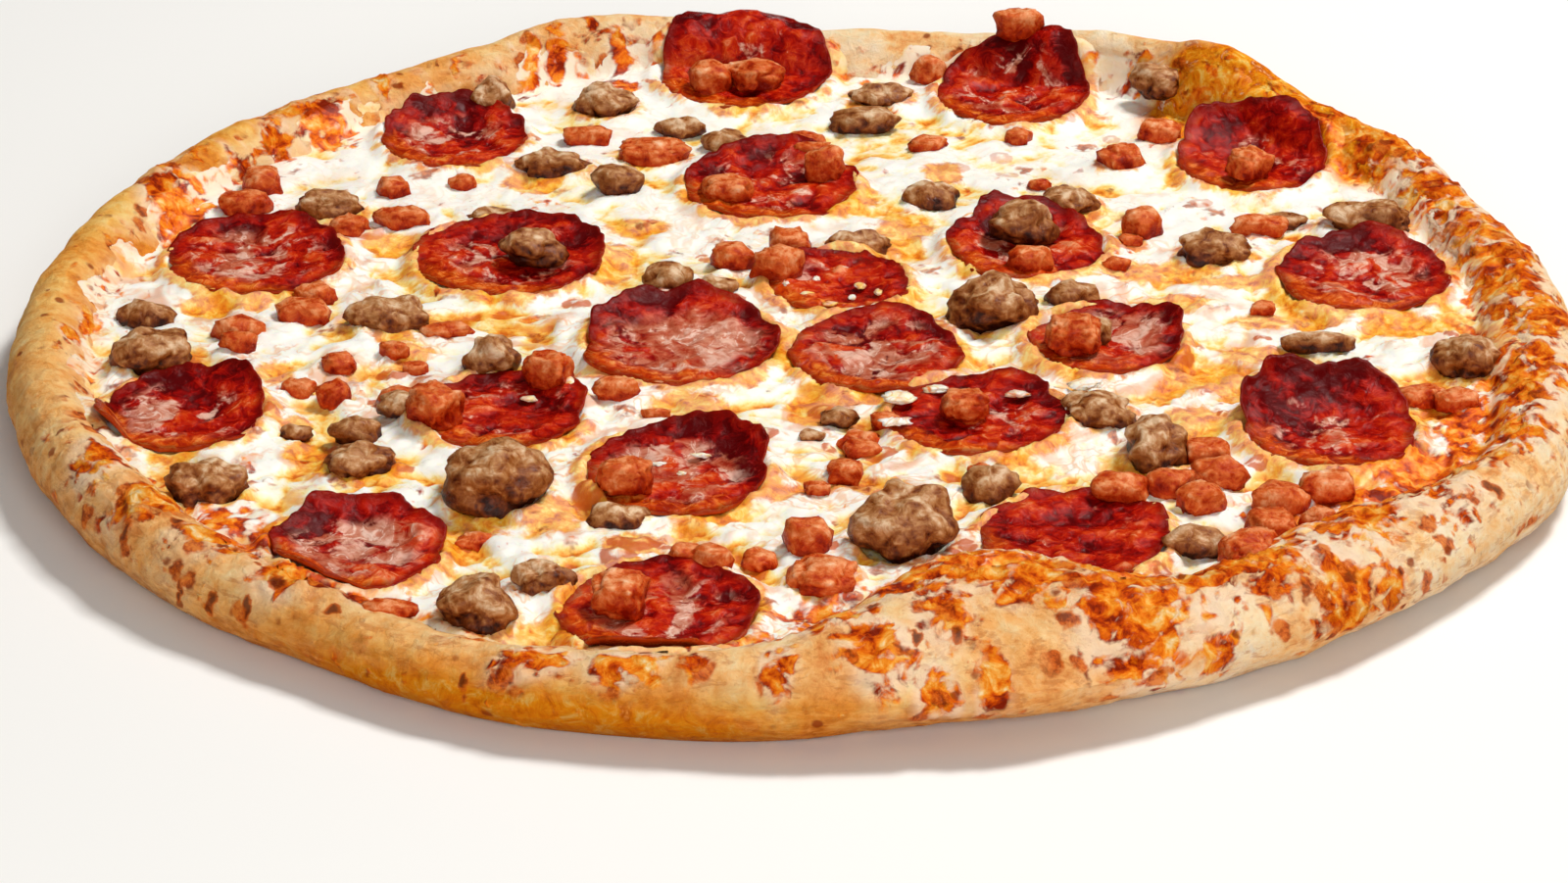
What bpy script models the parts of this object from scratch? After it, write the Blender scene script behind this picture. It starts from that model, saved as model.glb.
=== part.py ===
"""A whole round pizza with a risen crust, melted cheese, pepperoni, sausage lumps and diced ham.

Lengths are in millimetres until a mesh is finished. Angles are in degrees, from +X towards +Y.
The front of the pizza faces -Y.
"""

import math
import random

import bmesh
import bpy
from mathutils import Matrix, Vector, noise
from mathutils.geometry import delaunay_2d_cdt

METRES = 0.001
GAP = 0.4
# Puts the middle of the uneven outline on the Z axis, in metres
CENTRE_SHIFT = (0.0015, -0.0026, 0.0)

# Crust
SEGMENTS = 108
BASE_THICKNESS = 6.0
OUTER_RADIUS = 176.0
RIM_HEIGHT = 20.0
RIM_WIDTH = 18.5
SLOPE_RUN = 4.5
RIM_UNEVENNESS = 0.7
OUTLINE_BUMPS = (
    (-126, 9, -2.0),
    (-112, 7, 1.5),
    (-73, 8, 2.0),
    (-24, 9, 3.0),
    (20, 8, -2.0),
    (36, 7, 3.0),
    (87, 7, -4.0),
    (108, 9, 4.0),
)
HEIGHT_BUMPS = (
    (-118, 20, -5.0),
    (-84, 9, 3.0),
    (-71, 9, 5.0),
    (-48, 14, 2.0),
    (24, 9, -1.5),
    (53, 7, 9.0),
    (65, 5, 4.5),
    (108, 9, 3.5),
    (180, 25, -1.0),
)
WIDTH_BUMPS = (
    (-75, 12, 33.0),
    (-46, 12, 12.0),
    (0, 14, 4.0),
    (61, 6, -5.0),
)
# Where the top of the rim rises towards its inner side
INWARD_BUMPS = ((-75, 11, 1.0),)
INWARD_TILT = 0.42
INWARD_PIVOT = 0.55
# How far in from the outer edge (share of the rim width) and how high (share of the rim height)
RIM_PROFILE = (
    (0.36, 0.0),
    (0.12, 0.2),
    (0.0, 0.46),
    (0.08, 0.74),
    (0.25, 0.93),
    (0.5, 1.0),
    (0.75, 0.89),
    (0.94, 0.68),
)

# Cheese
CHEESE_LEVEL = 11.2
CHEESE_SWELL = 1.3
CHEESE_GRID = 9.5
SINK = 1.2
LEAN = 3.0

# Pepperoni
SLICE_THICKNESS = 2.2
SLICE_STEPS = 18
SLICE_CUP = 1.6

# x, y, diameter, lift of one edge, direction of the lifted edge
SLICES = (
    (-84, 113, 35.0, 6.0, 100),
    (-15, 154, 42.0, 4.5, 90),
    (51, 141, 37.0, 5.0, 70),
    (107, 100, 36.0, 7.0, 80),
    (-8, 85, 40.5, 3.0, 110),
    (-126, 42, 40.5, 3.0, 60),
    (-68, 42, 42.5, 3.0, 60),
    (52, 50, 37.0, 4.5, 100),
    (128, 33, 39.5, 4.0, 90),
    (8, 29, 32.0, 1.5, 60),
    (-27, -5, 43.0, 5.0, 100),
    (16, -9, 38.5, 2.0, 60),
    (68, -3, 34.5, 2.5, 30),
    (-135, -41, 36.5, 5.0, 60),
    (-66, -40, 36.5, 1.5, 60),
    (38, -42, 39.0, 2.0, 40),
    (-27, -70, 39.5, 5.0, 60),
    (114, -48, 38.0, 8.0, 100),
    (-93, -106, 36.5, 5.0, 100),
    (57, -100, 39.5, 1.5, 40),
    (-29, -134, 40.5, 2.0, 60),
)

# kind, x, y, width, depth, height, turn
PIECES = (
    ("sausage", 21, -101, 25, 23, 16, 20),
    ("sausage", -65, -80, 25, 22, 17, -20),
    ("sausage", -76, 131, 13, 11, 13, 30),
    ("sausage", -49, 133, 20, 11, 9, -35),
    ("sausage", -59, 96, 20, 11, 8, 10),
    ("sausage", -111, 72, 19, 11, 8, 20),
    ("sausage", 19, 141, 18, 13, 7, -10),
    ("sausage", 88, 138, 20, 14, 9, 0),
    ("sausage", 51, 54, 19, 14, 12, 30),
    ("sausage", 63, 74, 16, 12, 8, -20),
    ("sausage", 95, 46, 18, 13, 9, 0),
    ("sausage", 131, 62, 22, 13, 9, 15),
    ("sausage", 147, -14, 17, 14, 11, 0),
    ("sausage", 12, 51, 16, 10, 7, 10),
    ("sausage", -62, 42, 17, 14, 10, 0),
    ("sausage", -94, 7, 20, 14, 9, 0),
    ("sausage", -145, -13, 19, 16, 11, -10),
    ("sausage", -69, -17, 16, 12, 12, -30),
    ("sausage", 42, 10, 22, 17, 14, 0),
    ("sausage", 63, -42, 20, 13, 9, -25),
    ("sausage", 76, -60, 15, 19, 12, 20),
    ("sausage", -126, -78, 20, 16, 10, 0),
    ("sausage", -95, -66, 17, 14, 9, 0),
    ("sausage", -66, -136, 18, 16, 13, 0),
    ("ham", -12, 148, 16, 13, 8, 10),
    ("ham", -80, -45, 12, 14, 10, 20),
    ("ham", -37, -134, 13, 12, 10, 10),
    ("ham", 60, -7, 13, 12, 10, 30),
    ("ham", -38, -78, 14, 11, 9, 0),
    ("ham", 106, 90, 12, 11, 9, 15),
    ("ham", 35, -42, 12, 11, 8, 0),
    ("ham", 92, -116, 13, 11, 8, 20),
    ("ham", 4, -120, 14, 14, 8, 25),
    ("ham", -36, 103, 20, 9, 7, -15),
    ("ham", 76, 99, 13, 11, 8, 0),
    ("sausage", -53, -124, 15, 9, 9, -15),
    ("ham", -56, -26, 12, 11, 8, 10),
)

# Small pieces that are one with the cheese: x, y, width, depth, height
STUDS = (
    (-30, 121, 11, 8, 5),
    (-19, 112, 10, 8, 5),
    (83, -110, 13, 11, 7),
    (-44, 84, 12, 9, 5),
    (15, 124, 17, 8, 5),
    (30, 78, 13, 9, 5),
    (-29, 30, 11, 8, 4),
    (-73, 69, 13, 6, 4),
    (-148, 9, 13, 9, 5),
    (61, 22, 13, 10, 5),
    (40, -77, 12, 10, 7),
    (114, -8, 15, 6, 2),
    (31, 155, 9, 8, 7),
    (0, 113, 11, 7, 4),
    (-52, 113, 10, 6, 4),
    (-128, 80, 10, 10, 7),
    (-102, 60, 10, 8, 4),
    (-92, 66, 12, 8, 4),
    (86, 118, 11, 8, 5),
    (79, 60, 10, 9, 6),
    (-8, 51, 9, 8, 6),
    (78, -81, 12, 9, 6),
    (89, -73, 10, 8, 6),
    (105, -85, 15, 10, 6),
    (97, -98, 11, 8, 6),
    (-113, 13, 13, 8, 5),
    (-103, -31, 8, 7, 5),
    (30, 112, 9, 5, 3),
    (-9, -111, 9, 8, 5),
    (-127, 7, 12, 8, 5),
    (-41, -31, 11, 7, 4),
    (136, -29, 12, 6, 4),
    (106, 63, 13, 7, 4),
    (-69, -98, 8, 6, 3),
    (9, -70, 8, 7, 4),
    (9, -51, 9, 6, 3),
)


def bump_sum(bumps, angle):
    """The sum of smooth bumps (centre angle, half width, amount) at an angle."""
    total = 0.0
    for centre, half_width, amount in bumps:
        away = (angle - centre + 180.0) % 360.0 - 180.0
        total += amount * math.exp(-((away / half_width) ** 2))
    return total


def outline(angle):
    swell = 3.0 * math.sin(math.radians(angle)) - 1.5 * math.cos(math.radians(angle))
    return OUTER_RADIUS + swell + bump_sum(OUTLINE_BUMPS, angle)


def rim_height(angle):
    return RIM_HEIGHT + bump_sum(HEIGHT_BUMPS, angle)


def rim_width(angle):
    return RIM_WIDTH + bump_sum(WIDTH_BUMPS, angle)


def profile_height(inset, height, angle):
    """A height share of the rim's profile, with the tilt that its upper side has at an angle."""
    if height <= RIM_PROFILE[2][1]:
        return height
    return height + INWARD_TILT * bump_sum(INWARD_BUMPS, angle) * (inset - INWARD_PIVOT)


def angle_of(x, y):
    return math.degrees(math.atan2(y, x))


def ripple(x, y, size, amount):
    """A smooth random height, the same on every run."""
    return amount * noise.noise(Vector((x / size, y / size, 0.37)))


def slope_top(angle):
    """Radius and height of the place where the rim's inner slope begins."""
    inset, height = RIM_PROFILE[-1]
    top_height = profile_height(inset, height, angle) * rim_height(angle)
    return outline(angle) - inset * rim_width(angle), top_height


def slope_radius(angle, height):
    """Radius of the rim's inner slope at a height."""
    top_radius, top_height = slope_top(angle)
    share = (height - BASE_THICKNESS) / (top_height - BASE_THICKNESS)
    return top_radius - SLOPE_RUN * (1.0 - share)


def crust_top(x, y):
    """Height of the crust's upper side at a place."""
    angle = angle_of(x, y)
    inset = outline(angle) - math.hypot(x, y)
    last_inset, last_height = 0.0, RIM_PROFILE[2][1] * rim_height(angle)
    for share, height in RIM_PROFILE[3:]:
        this_inset = share * rim_width(angle)
        this_height = profile_height(share, height, angle) * rim_height(angle)
        if inset <= this_inset:
            along = (inset - last_inset) / (this_inset - last_inset)
            return last_height + along * (this_height - last_height)
        last_inset, last_height = this_inset, this_height
    drop = (inset - last_inset) / SLOPE_RUN
    return max(BASE_THICKNESS, last_height - drop * (last_height - BASE_THICKNESS))


def slice_lift(place, x, y):
    """Height of a pepperoni slice's underside above its lowest point."""
    centre_x, centre_y, diameter, lift, direction = place
    reach = math.hypot(x - centre_x, y - centre_y) / (diameter / 2)
    turn = math.radians(angle_of(x - centre_x, y - centre_y) - direction)
    edge = lift * (0.5 + 0.5 * math.cos(turn)) ** 2
    return (SLICE_CUP + edge) * min(reach, 1.1) ** 2.4


def above_rim(x, y, reach):
    """A height that clears the crust at a place and all round it."""
    around = [(x, y)]
    for step in range(8):
        turn = math.radians(45 * step)
        around.append((x + reach * math.cos(turn), y + reach * math.sin(turn)))
    return max(crust_top(*spot) for spot in around) + 2 * GAP


def slice_under(place, x, y):
    """Height of a pepperoni slice's underside, which bends up where it lies on the rim."""
    resting = CHEESE_LEVEL - 0.4 + slice_lift(place, x, y)
    return max(resting, above_rim(x, y, 3.5))


def in_slice(place, x, y, margin):
    return math.hypot(x - place[0], y - place[1]) < place[2] / 2 + margin


def in_piece(piece, x, y, margin):
    """Whether a place is inside the oval of a piece, widened by a margin."""
    _, centre_x, centre_y, width, depth, _, turn = piece
    angle = math.radians(turn)
    away_x, away_y = x - centre_x, y - centre_y
    along = (away_x * math.cos(angle) + away_y * math.sin(angle)) / (width / 2 + margin)
    across = (away_y * math.cos(angle) - away_x * math.sin(angle)) / (depth / 2 + margin)
    return math.hypot(along, across) < 1.0


def cheese_top(x, y):
    """Height of the cheese away from its edge."""
    height = CHEESE_LEVEL + 0.5 + ripple(x, y, 26.0, CHEESE_SWELL) + ripple(x, y, 9.0, 0.5)
    for stud_x, stud_y, width, depth, tall in STUDS:
        reach = math.hypot((x - stud_x) / (width / 2), (y - stud_y) / (depth / 2))
        if reach < 0.85:
            height += tall
    return give_way(x, y, height, 1.5)


def give_way(x, y, height, margin):
    """A height of the cheese, lowered where a slice or piece lies."""
    for place in SLICES:
        if in_slice(place, x, y, margin):
            height = min(height, CHEESE_LEVEL - 0.4 + slice_lift(place, x, y) - 1.6 * GAP)
    for piece in PIECES:
        if in_piece(piece, x, y, margin):
            height = min(height, CHEESE_LEVEL - SINK)
    return height


def new_object(name, mesh_builder, collection):
    """Turn a bmesh in millimetres into an object in metres."""
    bmesh.ops.recalc_face_normals(mesh_builder, faces=mesh_builder.faces[:])
    bmesh.ops.scale(mesh_builder, vec=(METRES, METRES, METRES), verts=mesh_builder.verts[:])
    mesh = bpy.data.meshes.new(name)
    mesh_builder.to_mesh(mesh)
    mesh_builder.free()
    made = bpy.data.objects.new(name, mesh)
    collection.objects.link(made)
    return made


def new_material(name, colour, roughness):
    material = bpy.data.materials.new(name)
    material.use_nodes = True
    shader = material.node_tree.nodes["Principled BSDF"]
    shader.inputs["Base Color"].default_value = (*colour, 1.0)
    shader.inputs["Roughness"].default_value = roughness
    shader.inputs["Metallic"].default_value = 0.0
    return material


def turned(profile, steps):
    """Spin a half section of (radius, height) points, from axis to axis, into a closed body."""
    body = bmesh.new()
    points = [body.verts.new((radius, 0.0, height)) for radius, height in profile]
    edges = [body.edges.new(pair) for pair in zip(points, points[1:])]
    bmesh.ops.spin(
        body,
        geom=points + edges,
        cent=(0, 0, 0),
        axis=(0, 0, 1),
        angle=math.tau,
        steps=steps,
        use_merge=True,
    )
    bmesh.ops.remove_doubles(body, verts=body.verts[:], dist=0.01)
    return body


def crust_body():
    """The dough: a flat base with a risen rim whose size changes with the angle."""
    profile = [(0.0, 0.0)]
    for inset, height in RIM_PROFILE:
        profile.append((OUTER_RADIUS - inset * RIM_WIDTH, height * RIM_HEIGHT))
    top_radius = OUTER_RADIUS - RIM_PROFILE[-1][0] * RIM_WIDTH
    profile.append((top_radius - SLOPE_RUN, BASE_THICKNESS))
    profile.append((0.0, BASE_THICKNESS))
    body = turned(profile, SEGMENTS)
    for vertex in body.verts:
        x, y, z = vertex.co
        radius = math.hypot(x, y)
        if radius < 1.0:
            continue
        angle = angle_of(x, y)
        inset = (OUTER_RADIUS - radius) / RIM_WIDTH
        if radius < top_radius - 1.0:
            new_radius, new_height = slope_radius(angle, BASE_THICKNESS), BASE_THICKNESS
            if z < 1.0:
                new_radius, new_height = outline(angle) - inset * rim_width(angle), 0.0
        else:
            new_radius = outline(angle) - inset * rim_width(angle)
            new_height = profile_height(inset, z / RIM_HEIGHT, angle) * rim_height(angle)
            if 0.02 < inset < 0.8 and z > 1.0:
                new_height += ripple(x, y, 13.0, RIM_UNEVENNESS)
        if z < 1.0:
            new_radius = outline(angle) - RIM_PROFILE[0][0] * RIM_WIDTH
        vertex.co = (x / radius * new_radius, y / radius * new_radius, new_height)
    bmesh.ops.recalc_face_normals(body, faces=body.faces[:])
    return body


def make_crust(collection, material):
    crust = new_object("crust", crust_body(), collection)
    crust.data.materials.append(material)
    shade_smooth(crust)
    return crust


def crust_cutter(collection):
    """The dough grown by the gap, to trim what leans on its rim."""
    body = crust_body()
    body.normal_update()
    grown = [vertex.co + vertex.normal * 1.5 * GAP for vertex in body.verts]
    for vertex, place in zip(body.verts, grown):
        vertex.co = place
    return new_object("cutter_crust", body, collection)


def cheese_edge():
    """The rim of the cheese, one point for each segment of the crust, part way up its slope."""
    points = []
    for step in range(SEGMENTS):
        angle = 360.0 * step / SEGMENTS
        turn = math.radians(angle)
        reach = OUTER_RADIUS - RIM_WIDTH
        x, y = reach * math.cos(turn), reach * math.sin(turn)
        height = CHEESE_LEVEL + 0.8 + ripple(x, y, 14.0, 2.0)
        height = give_way(x, y, min(height, slope_top(angle)[1] - GAP), 5.0)
        radius = slope_radius(angle, height) - GAP
        points.append((radius * math.cos(turn), radius * math.sin(turn), height))
    return points


def ring_points(centre_x, centre_y, half_width, half_depth, turn, count):
    """Points spaced evenly round an oval."""
    points = []
    angle = math.radians(turn)
    for step in range(count):
        phase = math.tau * step / count
        along, across = half_width * math.cos(phase), half_depth * math.sin(phase)
        x = centre_x + along * math.cos(angle) - across * math.sin(angle)
        y = centre_y + along * math.sin(angle) + across * math.cos(angle)
        points.append((x, y))
    return points


def cheese_rings():
    """Closed rings of points that shape the cheese round the slices, pieces and studs."""
    rings = []
    for x, y, diameter, _, _ in SLICES:
        rings.append(ring_points(x, y, diameter / 2 + 1.2, diameter / 2 + 1.2, 0, 18))
        rings.append(ring_points(x, y, diameter * 0.3, diameter * 0.3, 0, 9))
    for _, x, y, width, depth, _, turn in PIECES:
        rings.append(ring_points(x, y, width / 2 + 1.0, depth / 2 + 1.0, turn, 10))
    for x, y, width, depth, _ in STUDS:
        rings.append(ring_points(x, y, width / 2, depth / 2, 0, 7))
        rings.append(ring_points(x, y, width * 0.35, depth * 0.35, 0, 6))
    return rings


def inside_edge(x, y, margin):
    angle = angle_of(x, y)
    return math.hypot(x, y) < slope_radius(angle, CHEESE_LEVEL) - GAP - margin


def spread_points(taken):
    """A hexagonal spread of points over the cheese, kept clear of the points already taken."""
    chosen = []
    rows = int(OUTER_RADIUS / (CHEESE_GRID * 0.866)) + 1
    for row in range(-rows, rows + 1):
        for column in range(-rows, rows + 1):
            x = (column + 0.5 * (row % 2)) * CHEESE_GRID
            y = row * CHEESE_GRID * 0.866
            if not inside_edge(x, y, 6.0):
                continue
            near = min((x - other[0]) ** 2 + (y - other[1]) ** 2 for other in taken)
            if near > (0.55 * CHEESE_GRID) ** 2:
                chosen.append((x, y))
    return chosen


def cheese_plan(edge):
    """The cheese seen from above: points and the faces between them."""
    points = [(x, y) for x, y, _ in edge]
    edges = [(step, (step + 1) % SEGMENTS) for step in range(SEGMENTS)]
    for ring in cheese_rings():
        kept = [spot for spot in ring if inside_edge(*spot, 2.5)]
        first = len(points)
        points += kept
        if len(kept) == len(ring):
            count = len(kept)
            edges += [(first + step, first + (step + 1) % count) for step in range(count)]
    points += spread_points(points)
    flat = [Vector(spot) for spot in points]
    spots, _, faces, _, _, _ = delaunay_2d_cdt(flat, edges, [list(range(SEGMENTS))], 1, 0.6)
    return spots, faces


def edge_vertices(body):
    """The vertices round the open edge of a sheet, in order of their angle."""
    found = set()
    for line in body.edges:
        if line.is_boundary:
            found.update(line.verts)
    return sorted(found, key=lambda vertex: angle_of(vertex.co.x, vertex.co.y))


def nearest_spot(spots, x, y):
    return min(spots, key=lambda spot: (spot[0] - x) ** 2 + (spot[1] - y) ** 2)


def close_cheese(body, edge):
    """Put the sheet's edge on the rim's slope, and add the side and the flat underside."""
    rim = edge_vertices(body)
    foot = []
    for vertex in rim:
        angle = angle_of(vertex.co.x, vertex.co.y)
        vertex.co = nearest_spot(edge, vertex.co.x, vertex.co.y)
        radius = slope_radius(angle, BASE_THICKNESS + GAP) - 1.5 * GAP
        x, y = radius * math.cos(math.radians(angle)), radius * math.sin(math.radians(angle))
        foot.append(body.verts.new((x, y, BASE_THICKNESS + GAP)))
    count = len(rim)
    for step in range(count):
        following = (step + 1) % count
        body.faces.new((rim[step], foot[step], foot[following], rim[following]))
    body.faces.new(foot)


def make_cheese(collection, material):
    """The melted cheese: an uneven sheet that fills the crust up to its slope."""
    edge = cheese_edge()
    spots, faces = cheese_plan(edge)
    body = bmesh.new()
    top = [body.verts.new((spot.x, spot.y, cheese_top(spot.x, spot.y))) for spot in spots]
    for face in faces:
        body.faces.new([top[index] for index in face])
    close_cheese(body, edge)
    cheese = new_object("cheese", body, collection)
    cheese.data.materials.append(material)
    shade_smooth(cheese)
    return cheese


def slice_radius(place, angle, seed):
    """The slice's slightly uneven radius."""
    wobble = ripple(math.cos(math.radians(angle)) + seed, math.sin(math.radians(angle)), 0.7, 0.045)
    return place[2] / 2 * (0.985 + wobble)


def slice_body(place, seed, thickness, spread, drop):
    """A cupped disc. Spread widens it and drop lowers its underside, for use as a cutter."""
    half = place[2] / 2
    profile = [
        (0.0, 0.0),
        (half * 0.6, 0.0),
        (half, 0.0),
        (half, thickness),
        (half * 0.6, thickness),
        (0.0, thickness),
    ]
    body = turned(profile, SLICE_STEPS)
    for vertex in body.verts:
        x, y, z = vertex.co
        share = math.hypot(x, y) / half
        radius = slice_radius(place, angle_of(x, y), seed)
        scale = (radius + spread * share) / half
        new_x, new_y = place[0] + x * scale, place[1] + y * scale
        under = slice_under(place, new_x, new_y)
        height = under + z
        if z < 0.5 * thickness:
            height = under - drop
        vertex.co = (new_x, new_y, height)
    return body


def make_slice(number, place, collection, material):
    name = f"pepperoni_{number:02d}"
    body = slice_body(place, number, SLICE_THICKNESS, 0.0, 0.0)
    made = new_object(name, body, collection)
    made.data.materials.append(material)
    shade_smooth(made)
    return made


def slice_cutter(number, place, collection):
    """Everything below a slice's upper side, grown by the gap, to trim what lies on it."""
    body = slice_body(place, number, SLICE_THICKNESS + GAP, 2 * GAP, 14.0)
    return new_object(f"cutter_{number:02d}", body, collection)


def lump_body(width, depth, height, seed):
    """A knobbly rounded lump."""
    body = bmesh.new()
    bmesh.ops.create_icosphere(body, subdivisions=2, radius=1.0)
    for vertex in body.verts:
        swell = noise.noise(vertex.co * 1.3 + Vector((seed * 3.1, 0.0, 0.0)))
        vertex.co *= 0.93 + 0.22 * swell
        vertex.co.x *= width / 2
        vertex.co.y *= depth / 2
        vertex.co.z *= height / 2
    return body


def dice_body(width, depth, height, seed):
    """A diced piece with worn corners."""
    rng = random.Random(seed)
    body = bmesh.new()
    bmesh.ops.create_cube(body, size=1.0)
    for vertex in body.verts:
        vertex.co.x *= width * rng.uniform(0.78, 0.92)
        vertex.co.y *= depth * rng.uniform(0.78, 0.92)
        vertex.co.z *= height * rng.uniform(0.85, 1.0)
    bmesh.ops.bevel(
        body,
        geom=body.edges[:],
        offset=min(width, depth, height) * 0.22,
        segments=1,
        affect="EDGES",
        clamp_overlap=True,
    )
    return body


def floor_under(piece):
    """How high a piece lies, and the slice that it lies on the most."""
    _, x, y, width, depth, _, turn = piece
    spots = [(x, y)] + ring_points(x, y, width * 0.3, depth * 0.3, turn, 8)
    best, best_count = None, 0
    for number, place in enumerate(SLICES):
        count = sum(in_slice(place, *spot, 0.0) for spot in spots)
        if count > best_count:
            best, best_count = number, count
    if best is None or best_count < 4:
        return max(CHEESE_LEVEL - SINK + GAP, crust_top(x, y) - LEAN)
    return min(slice_under(SLICES[best], *spot) for spot in spots) + SLICE_THICKNESS - 1.0


def touches_slice(piece, place):
    _, x, y, width, depth, _, turn = piece
    around = ring_points(x, y, width / 2 + 0.6, depth / 2 + 0.6, turn, 16)
    return any(in_slice(place, *spot, 1.0) for spot in around + [(x, y)])


def touches_rim(piece):
    _, x, y, width, depth, _, turn = piece
    around = ring_points(x, y, width / 2 + 0.6, depth / 2 + 0.6, turn, 16)
    return any(crust_top(*spot) > CHEESE_LEVEL - SINK - 1.0 for spot in around)


def make_piece(name, piece, seed, collection, material, cutters, rim_cutter):
    """A sausage lump or ham dice that rests on the cheese, on a slice or on both."""
    kind, x, y, width, depth, height, turn = piece
    builder = lump_body if kind == "sausage" else dice_body
    body = builder(width, depth, height, seed)
    floor = floor_under(piece)
    placed = Matrix.Translation((x, y, height * 0.42))
    body.transform(placed @ Matrix.Rotation(math.radians(turn), 4, "Z"))
    for vertex in body.verts:
        vertex.co.z = floor + max(vertex.co.z, 0.0)
    made = new_object(name, body, collection)
    made.data.materials.append(material)
    for number, place in enumerate(SLICES):
        if touches_slice(piece, place):
            cut(made, cutters[number])
    if touches_rim(piece):
        cut(made, rim_cutter)
    if kind == "sausage":
        shade_smooth(made)
    return made


def cut(target, cutter):
    modifier = target.modifiers.new(f"trim_{cutter.name}", "BOOLEAN")
    modifier.operation = "DIFFERENCE"
    modifier.solver = "EXACT"
    modifier.object = cutter


def shade_smooth(made):
    for face in made.data.polygons:
        face.use_smooth = True


def clear_scene():
    for old in list(bpy.data.objects):
        bpy.data.objects.remove(old, do_unlink=True)


def new_collection(name):
    collection = bpy.data.collections.new(name)
    bpy.context.scene.collection.children.link(collection)
    return collection


def main():
    clear_scene()
    pizza = new_collection("meat_pizza")
    helpers = new_collection("cutters")
    centre = bpy.data.objects.new("pizza_centre", None)
    centre.location = CENTRE_SHIFT
    pizza.objects.link(centre)
    dough = new_material("baked_dough", (0.72, 0.47, 0.24), 0.6)
    melted = new_material("melted_cheese", (0.93, 0.82, 0.56), 0.35)
    pepperoni = new_material("pepperoni", (0.42, 0.045, 0.02), 0.35)
    meats = {
        "sausage": new_material("sausage", (0.27, 0.16, 0.09), 0.5),
        "ham": new_material("ham", (0.56, 0.13, 0.05), 0.35),
    }
    make_crust(pizza, dough)
    make_cheese(pizza, melted)
    rim_cutter = crust_cutter(helpers)
    cutters = []
    for number, place in enumerate(SLICES, start=1):
        make_slice(number, place, pizza, pepperoni)
        cutters.append(slice_cutter(number, place, helpers))
    counts = {"sausage": 0, "ham": 0}
    for seed, piece in enumerate(PIECES, start=1):
        kind = piece[0]
        counts[kind] += 1
        name = f"{kind}_{counts[kind]:02d}"
        make_piece(name, piece, seed, pizza, meats[kind], cutters, rim_cutter)
    for cutter in helpers.objects:
        cutter.hide_render = True
        cutter.display_type = "WIRE"
    for made in list(pizza.objects) + list(helpers.objects):
        if made != centre:
            made.parent = centre


main()
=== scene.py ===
"""The looks of a whole meat pizza: baked crust, melted cheese, pepperoni, sausage and diced ham.

Shapes are worked out in millimetres, with the front of the pizza at -Y, and turned into metres
when a mesh is made. A whole number given last to perlin, fractal or bent_points is a seed.
"""

import functools
import itertools
import math
import random

import bmesh
import bpy
import numpy as np
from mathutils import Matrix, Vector, noise


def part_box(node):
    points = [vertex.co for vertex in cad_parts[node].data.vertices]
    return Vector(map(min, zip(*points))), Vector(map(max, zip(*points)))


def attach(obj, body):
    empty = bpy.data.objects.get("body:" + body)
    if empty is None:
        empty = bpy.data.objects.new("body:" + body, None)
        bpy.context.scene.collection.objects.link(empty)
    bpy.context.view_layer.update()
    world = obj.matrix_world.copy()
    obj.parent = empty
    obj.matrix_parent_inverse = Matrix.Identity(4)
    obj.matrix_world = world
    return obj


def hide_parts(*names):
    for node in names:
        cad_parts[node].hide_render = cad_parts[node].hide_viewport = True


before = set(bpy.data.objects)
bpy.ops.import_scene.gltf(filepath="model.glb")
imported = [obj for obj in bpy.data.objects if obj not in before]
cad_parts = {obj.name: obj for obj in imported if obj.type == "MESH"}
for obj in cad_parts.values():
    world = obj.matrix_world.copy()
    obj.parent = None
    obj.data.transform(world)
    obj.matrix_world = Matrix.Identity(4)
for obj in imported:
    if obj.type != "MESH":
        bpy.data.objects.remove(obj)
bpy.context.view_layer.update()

MM = 0.001
PER_METRE = 1000.0
CENTRE = np.array((1.5, -2.6, 0.0))

# The crust's sizes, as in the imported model
BASE_THICKNESS = 6.0
OUTER_RADIUS = 176.0
RIM_HEIGHT = 20.0
RIM_WIDTH = 18.5
SLOPE_RUN = 4.5
# Bumps of the rim's outline, height and width: centre angle, half width, amount
OUTLINE_BUMPS = (
    (-126, 9, -2), (-112, 7, 1.5), (-73, 8, 2), (-24, 9, 3), (20, 8, -2), (36, 7, 3),
    (87, 7, -4), (108, 9, 4),
)
HEIGHT_BUMPS = (
    (-118, 20, -5), (-84, 9, 3), (-71, 9, 5), (-48, 14, 2), (24, 9, -1.5), (53, 7, 9),
    (65, 5, 4.5), (108, 9, 3.5), (180, 25, -1),
)
WIDTH_BUMPS = (
    (-75, 12, 33), (-46, 12, 12), (0, 14, 4), (61, 6, -5),
)
# Where the top of the rim rises towards its inner side
INWARD_BUMPS = ((-75, 11, 1.0),)
INWARD_TILT = 0.42
INWARD_PIVOT = 0.55
# How far in from the outer edge (share of the rim width) and how high (share of the rim height)
RIM_PROFILE = (
    (0.36, 0), (0.12, 0.2), (0, 0.46), (0.08, 0.74), (0.25, 0.93), (0.5, 1), (0.75, 0.89),
    (0.94, 0.68),
)
CHEESE_LEVEL = 11.2
CHEESE_SWELL = 1.3
SLICE_THICKNESS = 2.2
SLICE_EDGE_THICKNESS = 1.15
SLICE_CUP = 1.6

# How finely the meshes are divided
CRUST_AROUND = 900
CRUST_PROFILE_ROWS = 76
UPPER_PROFILE_ROWS = 120
CHEESE_STEP = 1.05
SLICE_AROUND = 132
SLICE_TOP_RINGS = 34
SLICE_WALL_RINGS = 4
SLICE_UNDER_RINGS = 6
LUMP_LEVEL = 4
BIT_LEVEL = 3

BLISTER_COUNT = 240
BLISTER_REACH = 150.0
BLISTER_SIZES = (1.8, 4.4)
# How near the rim's outer edge the cheese may come, in rim widths
CHEESE_INSET = 0.3
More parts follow.
